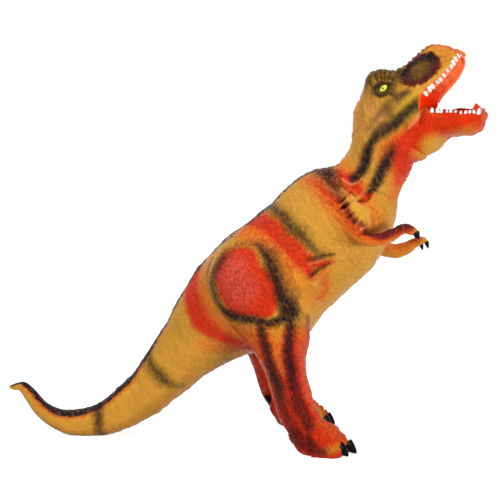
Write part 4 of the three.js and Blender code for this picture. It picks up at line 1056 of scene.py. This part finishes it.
# The eye's socket, the ridges across the snout and the nape, and the cheek's fine creases.
from_eye = (flat - eye_place) * np.array([0.95, 1.2])
socket = np.hypot(from_eye[..., 0], from_eye[..., 1])
socket_depth, socket_radius = 2.8, 7.0
relief -= socket_depth * np.exp(-((socket / socket_radius) ** 2))
nasal = smooth(0.7, 0.98, ring_up) * smooth(9.6, 10.4, row_at) * smooth(13.2, 12.6, row_at)
uneven = 1.2 * ripples(head_grid, 16, 71)
snout_ridge, nape_ridge = 7.6, 6.4
relief += nasal * np.cos(2 * np.pi * (flat[..., 0] + flat[..., 1] + uneven) / snout_ridge)
crest = smooth(0.9, 1.0, ring_up) * smooth(7.6, 6.8, row_at) * smooth(2, 3, row_at)
relief += 0.8 * crest * np.cos(2 * np.pi * (flat[..., 1] + 1.5 * uneven) / nape_ridge)
cheek = smooth(2, 4, row_at) * smooth(8, 6, row_at)
relief -= 0.3 * cheek * creases(head_grid, 6, 73)
# The oval patch on the snout's side, with small scales like spokes round its rim. Its measure is 0
# at the middle and 1 at the rim.
oval_lean = np.radians(34)
oval_way = np.array([np.cos(oval_lean), np.sin(oval_lean)])
oval_middle = np.array([173.5, 363.2])
oval_half_length = 19
oval_half_width = 13
oval_spokes = 22
from_oval = flat - oval_middle
along_oval, across_oval = from_oval @ oval_way, from_oval @ np.array([-oval_way[1], oval_way[0]])
oval = np.hypot(along_oval / oval_half_length, across_oval / oval_half_width)
oval_angle = np.arctan2(across_oval / oval_half_width, along_oval / oval_half_length)
spokes = np.cos(oval_spokes * oval_angle)
relief += 0.3 * spokes * smooth(0.55, 0.85, oval) * smooth(1.2, 0.95, oval)
lip_inset = half_width - np.abs(head_grid[..., 1])
outside_mouth = np.maximum(smooth(0.2, -0.1, -ring_up), smooth(-4, -1, -lip_inset))
jaw_fillet = 14
relief += flowing(beyond(jaw_rows, head_grid), jaw_fillet) * outside_mouth * smooth(7.4, 6.6, row_at)
head_skin = head_grid + relief[..., None] * head_normal
# The mouth's roof is hollowed up between the lips, with low ridges across it.
chord_way = section[:, [0, 1]] - section[:, [2, 3]]
chord_way /= np.linalg.norm(chord_way, axis=1, keepdims=True)
chord_way = np.stack([chord_way[:, 0], 0 * chord_way[:, 0], chord_way[:, 1]], -1)[:, None]
inside = smooth(0, 3.5, half_width - lip_wall - np.abs(head_grid[..., 1]))
facing = smooth(-0.2, -0.5, ring_up)
palate = inside * facing * smooth(7.4, 8.4, row_at) * smooth(15.2, 14.4, row_at)
palate_ridges = 0.5 * np.cos(2 * np.pi * flat[..., 0] / 6.5)
palate_depth = 3.0 + palate_ridges
head_skin += (palate_depth * palate)[..., None] * chord_way
head_paint = painted(head_grid, head_strokes)
gum_side = smooth(-1.0, 0.6, half_width - 2.6 - np.abs(head_grid[..., 1]))
mouth_facing = smooth(-0.55, -0.75, ring_up)
head_paint["mouth"] = gum_side * mouth_facing * smooth(4.8, 5.3, row_at) * smooth(15.6, 15.0, row_at)
crease_shade_and_ridge_highlight(head_paint, ridges, grooves)
brow = brush(head_grid, [(121, 352, 7), (128, 363, 9), (142, 366, 9), (152, 361, 6)], 5)
head_paint["pale"] *= 1 - 0.85 * brow
lay(head_paint, "olive", 0.9 * brow)
streaky(head_paint, head_grid)
not_roof = 1 - head_paint["mouth"]
oval = oval + 0.015 * spokes + 0.04 * ripples(head_grid, 7, 74)
upper_rim = (0.55 + 0.45 * smooth(-6, 4, across_oval)) * (1 - 0.6 * smooth(9, 13, across_oval))
rim = smooth(1.16, 0.92, oval) * smooth(0.3, 0.8, oval)
lay(head_paint, "maroon", 0.95 * smooth(1.26, 1.04, oval) * smooth(0.2, 0.7, oval) * not_roof)
lay(head_paint, "dark", 0.95 * upper_rim * rim * not_roof)
lay(head_paint, "umber", 0.8 * smooth(1.0, 0.7, oval) * not_roof)
lay(head_paint, "olive", 0.5 * smooth(0.9, 0.5, oval) * not_roof)
head_paint["dark"] *= not_roof
head_paint["pebbled"] = 0.5 - 0.45 * head_paint["mouth"]
head_paint["throat"] = smooth(12, 6.5, row_at) * head_paint["mouth"]
head_paint["matt"] = head_paint["mouth"]
head_skin = head_skin[seam_extra:]
head_paint = {key: value[seam_extra:] for key, value in head_paint.items()}
# The mouth's coat on the roof is a light salmon: painted light, brighter than the shade in the mouth lets the
# paint look.
head_coats = coats + [("mouth", "#FF7A44", 0.1), ("throat", "#EE300A", 0.1)]
head = skin_mesh("head_and_neck", [turned(head_skin)], [head_paint])
head_vinyl = airbrushed_vinyl("soft_vinyl_head", head_coats, pebble=2.0, relief=0.3, mouth=True)
head.data.materials.append(head_vinyl)
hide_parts("head_skin", "head_stuffing")
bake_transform(head)

# Lower jaw: a solid casting whose skin runs back into the cheeks, so that it springs when pressed.
# Its upper face is hollowed for the tongue between two rims that carry the teeth.
# Places along the jaw are row numbers, 0 in the cheeks and 6 at the chin's end.
jaw_columns = 160
jaw_spacing = 0.9
jaw_angles = circle(jaw_columns)
jaw_last = len(jaw_rows) - 1
jaw_numbers = even_numbers(jaw_rows, 0, jaw_last, jaw_spacing)
section = spline(jaw_rows, jaw_numbers)
lip_share = smooth(0.5, 1.5, jaw_numbers) * smooth(6, 5, jaw_numbers)
upper_square = section[:, 6] + (lip_square - section[:, 6]) * lip_share
jaw_grid = carried(jaw_rows, jaw_numbers, jaw_angles, upper_square=upper_square)
jaw_grid = rounded(jaw_grid, 4.0)
row_at = np.concatenate([jaw_numbers, np.full(len(jaw_grid) - len(jaw_numbers), jaw_last)])[:, None]
section = spline(jaw_rows, row_at[:, 0])
relief = 0.3 * ripples(jaw_grid, 14, 81) - 0.4 * creases(jaw_grid, 8, 82) + 0.2 * pebbles(jaw_grid, 4)
jaw_folds = [
    (-1.6, 1.8, [(183, 322, 0.8), (180, 316, 1), (176, 311, 0.8)]),
    (-0.7, 2.4, [(196, 306, 0.8), (204, 308, 0.8)]),
    (0.8, 2.4, [(190, 320.5, 1), (206, 318.5, 1), (222, 316.5, 1)]),
    (-0.8, 2, [(192, 316, 0.8), (210, 313, 0.8)]),
    (-1.0, 1.8, [(219, 309, 0.6), (221, 315, 0.8)]),
    (1.0, 3, [(226, 312, 2), (229, 315, 2)]),
]
ridges, grooves = folded(jaw_grid, jaw_folds)
relief += ridges - grooves
outside_mouth = smooth(0.75, 0.4, np.cos(jaw_angles))[None]
relief += flowing(beyond(head_rows, jaw_grid), jaw_fillet) * outside_mouth
jaw_skin = jaw_grid + relief[..., None] * outward(jaw_grid)
inside = smooth(0, 3, section[:, 4][:, None] - 3.2 - np.abs(jaw_grid[..., 1]))
facing = smooth(0.45, 0.7, np.cos(jaw_angles))[None]
trough = inside * facing * smooth(4.7, 3.9, row_at)
trough_depth = 5.5
jaw_skin[..., 2] -= trough_depth * trough


def risen(points):
    """The jaw's upper side rises towards the animal's left, by a slope times the distance from its low
    side, and in a lump behind the front teeth, by its height times two bell curves."""
    low_side, lump_height = -22, 8.5
    upper = smooth(308, 318, points[..., 2]) * smooth(172, 186, points[..., 0])
    lump = np.exp(-(((points[..., 0] - 223) / 6) ** 2) - ((points[..., 1] - 1) / 8) ** 2)
    slope = 0.16 - 0.07 * smooth(204, 188, points[..., 0])
    return upper * (slope * np.maximum(points[..., 1] - low_side, 0) + lump_height * lump)


# A web of skin stands up in each corner of the mouth.
web_height = 9
web = np.exp(-(((jaw_grid[..., 0] - 180) / 4.5) ** 2)) * smooth(20, 25, np.abs(jaw_grid[..., 1]))
jaw_skin[..., 2] += risen(jaw_grid) + web_height * web * smooth(308, 318, jaw_grid[..., 2])

jaw_paint = painted(jaw_grid, head_strokes + [
    ("orange", 5, 0.9, [(226, 305, 3), (212, 302, 3)]),
    ("orange", 4, 1.0, [(216, 323, 2), (224, 323, 5), (230, 317, 5), (229, 309, 5)]),
    ("pale", 4, 0.3, [(229, 322, 2), (232, 316, 3)]),
])
redder = smooth(172, 184, jaw_grid[..., 0]) * smooth(299, 310, jaw_grid[..., 2])
lay(jaw_paint, "red", redder * (1 - 0.8 * jaw_paint["orange"]))
gum_side = smooth(-1, 0.5, section[:, 4][:, None] - 3.0 - np.abs(jaw_grid[..., 1]))
jaw_paint["mouth"] = gum_side * facing * smooth(4.6, 3.9, row_at)
jaw_paint["throat"] = smooth(3.0, 0.5, row_at) * jaw_paint["mouth"]
crease_shade_and_ridge_highlight(jaw_paint, ridges, grooves)
jaw_paint["pebbled"] = 0.55 - 0.45 * jaw_paint["mouth"]
jaw_paint["matt"] = np.maximum(jaw_paint["mouth"], 0.7)
jaw = skin_mesh("lower_jaw", [turned(jaw_skin, whole=True)], [jaw_paint])
jaw_coats = coats + [("mouth", "#A81C0C", 0.1), ("throat", "#8C1008", 0.1)]
jaw_vinyl = airbrushed_vinyl("soft_vinyl_jaw", jaw_coats, pebble=2.0, relief=0.3, mouth=True)
jaw.data.materials.append(jaw_vinyl)
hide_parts("jaw_skin")
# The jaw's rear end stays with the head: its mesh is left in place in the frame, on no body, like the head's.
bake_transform(jaw)

# Tongue: a low pad of soft vinyl with a groove along its middle. It is a piece of its own that lies
# in the jaw's trough, under glossy red paint like the mouth's.
tongue_rows = np.array([
    [182, 320, 182, 312, 13, 0, 1],
    [190, 321.5, 190, 312, 14, 0, 1],
    [199, 321.5, 199, 312, 13.5, 0, 1],
    [206, 321, 206, 312, 11.5, 0, 1],
    [211, 320.5, 211, 313, 9, 0, 1],
    [215, 319, 215, 314, 6, 0, 1],
])
tongue_columns = 60
tongue_spacing = 0.8
tongue_numbers = even_numbers(tongue_rows, 0, len(tongue_rows) - 1, tongue_spacing)
tongue_grid = carried(tongue_rows, tongue_numbers, circle(tongue_columns))
tongue_grid = rounded(tongue_grid, 1.6)
tongue_groove = np.exp(-((tongue_grid[..., 1] / 2.0) ** 2)) * smooth(317, 320, tongue_grid[..., 2])
tongue_grid[..., 2] += risen(tongue_grid) - 1.2 * tongue_groove * smooth(212, 206, tongue_grid[..., 0])
tongue = skin_mesh("tongue_pad", [turned(tongue_grid, whole=True)])


def plain_plastic(name, code, roughness):
    """Hard glossy vinyl or paint, IOR about 1.5: one colour with a faint uneven tone, and a fine grain
    about 1 mm wide and 0.1 mm deep in its gloss."""
    material, tree, shader = blank_material(name)
    place = node(tree, "ShaderNodeTexCoord").outputs["Object"]
    noise = node(tree, "ShaderNodeTexNoise", {"Vector": place, "Scale": 900.0, "Detail": 2.0})
    dim = tuple(0.8 * v for v in tint(code)[:3]) + (1.0,)
    mixed = node(tree, "ShaderNodeMix", {0: noise.outputs["Fac"], 6: tint(code), 7: dim}, data_type="RGBA")
    tree.links.new(mixed.outputs[2], shader.inputs["Base Color"])
    bump = node(tree, "ShaderNodeBump", {"Height": noise.outputs["Fac"], "Strength": 0.6,
                "Distance": 0.1 / 1000})
    tree.links.new(bump.outputs["Normal"], shader.inputs["Normal"])
    shader.inputs["Roughness"].default_value = roughness
    shader.inputs["IOR"].default_value = 1.5
    shader.inputs["Specular IOR Level"].default_value = 0.05
    return material


tongue.data.materials.append(plain_plastic("glossy_red_mouth_paint", "#A81E0C", 0.3))
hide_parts("tongue")
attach(tongue, "jaw")

# Teeth: blunt pegs in a low gum along each lip. Each row is cast whole, and white paint is dabbed on
# from outside, so that their inner sides stay bare. The upper row's bare side is a light salmon like the
# mouth's roof, painted light that is brighter than the mouth's shade; the lower row's is red.
gum_thickness = 1.3
gum_depth = 2.6
tooth_root = 1.5
tooth_radius = 1.75


def lip_line(rows, first, last, at_upper, rise):
    """The gum's line along one lip, across the front, and back along the other lip."""
    r = spline(rows, np.linspace(first, last, 120))
    upper, lower = r[:, [0, 1]], r[:, [2, 3]]
    way = (upper - lower) / np.linalg.norm(upper - lower, axis=1, keepdims=True)
    edge = upper - rise * way if at_upper else lower + rise * way
    out = r[:, 4] - lip_wall
    right = np.stack([edge[:, 0], -out, edge[:, 1]], -1)
    return np.concatenate([right, right[::-1] * np.array([1, -1, 1])])


def tooth_row(line, pointing, count, length, radius, seed, sizes):
    """Pegs along the line: each ring's radius is (1 - share^2)^(1/2) of the root's, wider along the gum.
    Their size follows the sizes given at shares of the line, from the right rear to the left rear."""
    gone = np.concatenate([[0], np.cumsum(np.linalg.norm(np.diff(line, axis=0), axis=1))])
    dice = np.random.default_rng(seed)
    marks = (np.arange(count) + 0.5 + dice.uniform(-0.12, 0.12, count)) / count * gone[-1]
    roots = np.stack([np.interp(marks, gone, line[:, k]) for k in range(3)], -1)
    ahead = np.stack([np.interp(marks + 0.5, gone, line[:, k]) for k in range(3)], -1) - roots
    ahead /= np.linalg.norm(ahead, axis=1, keepdims=True) + 1e-9
    size = dice.uniform(0.85, 1.15, count) * np.interp(marks / gone[-1], *sizes)
    share = np.linspace(0, 1, 9)[:-1][:, None, None]
    turn = circle(16)
    grids, masks = [], []
    for root, along, scale in zip(roots, ahead, size):
        axis = pointing + dice.normal(0, 0.1, 3)
        axis /= np.linalg.norm(axis)
        out = np.cross(along, axis)
        out /= np.linalg.norm(out)
        out *= np.sign(out[1] * root[1] + out[0] * 0.5 + 1e-9)
        along = np.cross(axis, out)
        ring = 1.05 * np.cos(turn)[:, None] * along + 0.9 * np.sin(turn)[:, None] * out
        girth = radius * scale * (1 - share**2) ** 0.5
        grids.append(root - axis * tooth_root + axis * (length * scale + tooth_root) * share + girth * ring)
        masks.append({"inner": smooth(0.1, -0.3, np.sin(turn))[None] + 0 * share[..., 0]})
    return grids, masks


def gum(line, pointing):
    """A strip along the inside of the lip's line: an ellipse carried along it, deeper than it is thick."""
    line = line[::3] * np.array([1, 0.9, 1]) + 0.5 * pointing
    ahead = np.gradient(line, axis=0)
    ahead /= np.linalg.norm(ahead, axis=1, keepdims=True)
    side = np.cross(ahead, pointing)
    side /= np.linalg.norm(side, axis=1, keepdims=True)
    turn = circle(14)[None, :, None]
    return line[:, None] + gum_thickness * np.cos(turn) * side[:, None] + gum_depth * np.sin(turn) * pointing


def dabbed_teeth(name, vinyl):
    """Hard white paint, glossy, over coloured vinyl: white outside, bare inside and on the gum."""
    material = plain_plastic(name, "#F6F4F0", 0.25)
    tree = material.node_tree
    shader = tree.nodes["Principled BSDF"]
    white = shader.inputs["Base Color"].links[0].from_socket
    inner = node(tree, "ShaderNodeAttribute", attribute_name="inner").outputs["Fac"]
    mixed = node(tree, "ShaderNodeMix", {0: inner, 6: white, 7: tint(vinyl)}, data_type="RGBA")
    tree.links.new(mixed.outputs[2], shader.inputs["Base Color"])
    return material


upper_line = lip_line(head_rows, 7.7, 14.9, False, 1.6)
upper_line[:, 1] *= 1 - lip_narrowing * smooth(202, 182, upper_line[:, 0])
lower_line = lip_line(jaw_rows, 1.35, 5.7, True, 0.6)
lower_line[:, 2] += risen(lower_line)
# Each row's line, the way its teeth point, their number and length, the body they ride, the vinyl's
# colour, and shares of the line with the teeth's sizes there.
rows = {
    # The upper row's light salmon is painted light, like the mouth's roof.
    "upper": (upper_line, np.array([0.6, 0, -0.8]), 26, 4.2, "head", "#FF8A54",
              ([0, 0.06, 0.4, 0.5, 0.6, 0.9, 1], [1.05, 1.05, 0.95, 0.7, 0.6, 0.5, 0.1])),
    "lower": (lower_line, np.array([0.05, 0, 1.0]), 26, 4.0, "jaw", "#B8240E",
              ([0, 0.07, 0.12, 0.36, 0.42, 0.46, 0.56, 0.9, 1],
               [1.15, 0.95, 0.85, 0.85, 1.3, 0.35, 0.35, 0.3, 0.1])),
}
for word, (line, pointing, count, length, body_name, vinyl, sizes) in rows.items():
    grids, masks = tooth_row(line, pointing, count, length, tooth_radius, 100 + count, sizes)
    strip = gum(line, pointing / np.linalg.norm(pointing))
    grids.append(strip)
    masks.append({"inner": np.ones(strip.shape[:2])})
    row = skin_mesh(word + "_tooth_row", [turned(grid, whole=True) for grid in grids], masks)
    row.data.materials.append(dabbed_teeth("white_tooth_paint_" + word, vinyl))
    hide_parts(word + "_teeth")
    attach(row, body_name)

# Eyes: domed lenses of hard vinyl, set into the sockets under the brows. They are painted a glossy
# yellow, darker at the rim, with a narrow dark slit.
eye_out = 33.2
eye_half_length = 4.5
eye_half_height = 2.9
eye_lean = np.radians(38)
slit_lean = np.radians(5)
for side, word in ((-1, "right"), (1, "left")):
    # The lens is an ellipse in the side view, pointed at both ends, and a dome across it.
    share = np.linspace(0.02, 1, 22)[:, None]
    turn = circle(48)[None]
    across = eye_half_length * share * np.cos(turn)
    high = eye_half_height * share * np.sin(turn) * (1 - 0.25 * np.cos(turn) ** 2)
    x = eye_place[0] + across * np.cos(eye_lean) - high * np.sin(eye_lean)
    z = eye_place[1] + across * np.sin(eye_lean) + high * np.cos(eye_lean)
    y = side * (eye_out - 3.0 + 3.2 * np.sqrt(np.clip(1 - (share * 0.94) ** 2, 0, 1)) + 0 * turn)
    dome = np.stack([x, y, z], -1)
    along_slit = across * np.cos(slit_lean) + high * np.sin(slit_lean)
    slit = np.exp(-((along_slit / 0.75) ** 2)) * smooth(0.62, 0.42, share)
    rim = smooth(0.72, 1.0, share) + 0 * turn
    eye = skin_mesh(word + "_eye_lens", [turned(dome, whole=True)], [{"slit": slit, "rim": rim}])
    material, tree, shader = blank_material("gloss_eye_paint_" + word)
    slit_amount = node(tree, "ShaderNodeAttribute", attribute_name="slit").outputs["Fac"]
    rim_amount = node(tree, "ShaderNodeAttribute", attribute_name="rim").outputs["Fac"]
    tone = node(tree, "ShaderNodeMix", {0: rim_amount, 6: tint("#E6E23A"), 7: tint("#A8A01C")},
                data_type="RGBA")
    tone = node(tree, "ShaderNodeMix", {0: slit_amount, 6: tone.outputs[2], 7: tint("#1A1408")},
                data_type="RGBA")
    tree.links.new(tone.outputs[2], shader.inputs["Base Color"])
    shader.inputs["Roughness"].default_value = 0.12
    eye.data.materials.append(material)
    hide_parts(word + "_eye")
    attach(eye, "head")

# Claws: curved horns of hard black vinyl, glossier than the skin. They are set into the toes and the
# fingers, with a dewclaw behind each ankle.
claw_vinyl = plain_plastic("gloss_black_claw_paint", "#07070C", 0.22)
toe_claw_length, toe_claw_radius = 12, 6.4
dewclaw_length, dewclaw_radius = 10, 3.6
finger_claw_length, finger_claw_radius = 7.6, 2.5


def claw(root, direction, curl, length, radius):
    """A bent horn: middle = root + length*(direction*s + curl*s^2), ring radius = radius*(1 - s^1.5)^0.8."""
    direction = np.array(direction, float)
    direction /= np.linalg.norm(direction)
    curl = np.array(curl, float)
    first = np.cross(direction, curl)
    first /= np.linalg.norm(first)
    second = np.cross(first, direction)
    share = np.linspace(0, 1, 15)[:-1][:, None, None]
    turn = circle(26)
    ring = 0.85 * np.cos(turn)[:, None] * first + np.sin(turn)[:, None] * second
    middle = np.array(root) + direction * length * share + curl * length * share**2
    return middle + radius * (1 - share**1.5) ** 0.8 * ring


for side, word in ((-1, "right"), (1, "left")):
    step = stride if side > 0 else 0.0
    for toe, (reach, spread) in toes[side].items():
        root = (101.5 + reach + step, side * (57 + spread), 10)
        grid = claw(root, (0.74, 0, -0.5), (0, 0, -0.2), toe_claw_length, toe_claw_radius)
        grid[..., 2] = np.maximum(grid[..., 2], 0.1)
        piece = skin_mesh(f"{word}_{toe}_claw_horn", [grid])
        piece.data.materials.append(claw_vinyl)
        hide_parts(f"{word}_{toe}_claw")
        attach(piece, word + "_leg")
    root = (44 + step, side * 43.5, 34)
    grid = claw(root, (0.25, -0.1 * side, -0.96), (0.12, 0, 0), dewclaw_length, dewclaw_radius)
    piece = skin_mesh(word + "_dewclaw_horn", [grid])
    piece.data.materials.append(claw_vinyl)
    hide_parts(word + "_dewclaw")
    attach(piece, word + "_leg")
    for number, (x, z, y) in enumerate(hands[side]):
        root = (x + 4.8, y, z - 1.6)
        grid = claw(root, (0.4, 0, -0.9), (-0.12, 0, -0.1), finger_claw_length, finger_claw_radius)
        piece = skin_mesh(f"{word}_finger_claw_horn_{number + 1}", [grid])
        piece.data.materials.append(claw_vinyl)
        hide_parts(f"{word}_finger_claw_{number + 1}")
        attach(piece, word + "_arm")

# Stage: a white floor and backdrop that keep only the toy's soft shadow, under two lamps in front,
# which glint on the scales, and a larger one above.
floor_mesh = bpy.data.meshes.new("floor")
floor_half = 6
floor_corners = [(floor_half * x, floor_half * y, 0) for x, y in ((-1, -1), (1, -1), (1, 1), (-1, 1))]
floor_mesh.from_pydata(floor_corners, [], [(0, 1, 2, 3)])
floor = bpy.data.objects.new("floor", floor_mesh)
bpy.context.scene.collection.objects.link(floor)
floor_material, floor_tree, floor_shader = blank_material("white_paper")
floor_shader.inputs["Base Color"].default_value = tint("#D8D8D8")
floor_shader.inputs["Roughness"].default_value = 0.9


def in_sight(tree):
    """1 on rays from the camera, a mirror or glass, which show the white room, and 0 on the others."""
    rays = node(tree, "ShaderNodeLightPath").outputs
    sight = node(tree, "ShaderNodeMath", {0: rays["Is Camera Ray"], 1: rays["Is Glossy Ray"]},
                 operation="MAXIMUM")
    return node(tree, "ShaderNodeMath", {0: sight.outputs[0], 1: rays["Is Transmission Ray"]},
                operation="MAXIMUM").outputs[0]


glow = node(floor_tree, "ShaderNodeEmission", {"Color": (1, 1, 1, 1), "Strength": 0.8})
added = node(floor_tree, "ShaderNodeAddShader", {0: floor_shader.outputs[0], 1: glow.outputs[0]})
chosen = node(floor_tree, "ShaderNodeMixShader", {0: in_sight(floor_tree), 1: floor_shader.outputs[0],
              2: added.outputs[0]})
floor_tree.links.new(chosen.outputs[0], floor_tree.nodes["Material Output"].inputs["Surface"])
floor.data.materials.append(floor_material)
floor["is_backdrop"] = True

world = bpy.data.worlds.new("studio")
world.use_nodes = True
bpy.context.scene.world = world
world_tree = world.node_tree
background = world_tree.nodes["Background"]
background.inputs["Color"].default_value = (1, 1, 1, 1)
room_light = 0.28
strength = node(world_tree, "ShaderNodeMapRange", {"Value": in_sight(world_tree), "To Min": room_light,
                "To Max": 1.0})
world_tree.links.new(strength.outputs["Result"], background.inputs["Strength"])


def lamp(name, place, aim, size, power):
    """A square soft lamp at a place, aimed at a point."""
    data = bpy.data.lights.new(name, "AREA")
    data.size = size
    data.energy = power
    light = bpy.data.objects.new(name, data)
    light.location = place
    light.rotation_mode = "QUATERNION"
    light.rotation_quaternion = (Vector(aim) - Vector(place)).to_track_quat("-Z", "Y")
    bpy.context.scene.collection.objects.link(light)


lamp("key", (-0.5, -1.0, 1.15), (0, 0, 0.2), 0.3, 10)
lamp("fill", (1.1, -1.0, 0.24), (0.1, 0, 0.2), 0.25, 11)
lamp("top", (0.0, 0.2, 1.5), (0, 0, 0.2), 0.5, 8)

# Camera: a long lens, nearly level with the toy's middle and a little ahead of square on, as in the
# photograph.
camera_data = bpy.data.cameras.new("camera")
camera = bpy.data.objects.new("camera", camera_data)
bpy.context.scene.collection.objects.link(camera)
azimuth, elevation = np.radians(8.0), np.radians(5.3)
distance = 1.25
aim_height = 190.0
level = np.cos(elevation)
back = np.array([np.sin(azimuth) * level, -np.cos(azimuth) * level, np.sin(elevation)])
right = np.array([np.cos(azimuth), np.sin(azimuth), 0.0])
up = np.cross(back, right)
aim = (np.array([0, 0, aim_height]) + drawing_shift) / 1000
stand = np.eye(4)
stand[:3, 0], stand[:3, 1], stand[:3, 2], stand[:3, 3] = right, up, back, aim + distance * back
camera.matrix_world = Matrix(stand.tolist())
camera_data.sensor_width = 36.0
camera_data.lens = 90.0
bpy.context.scene.camera = camera

bpy.context.scene.view_settings.view_transform = "Standard"
low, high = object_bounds()
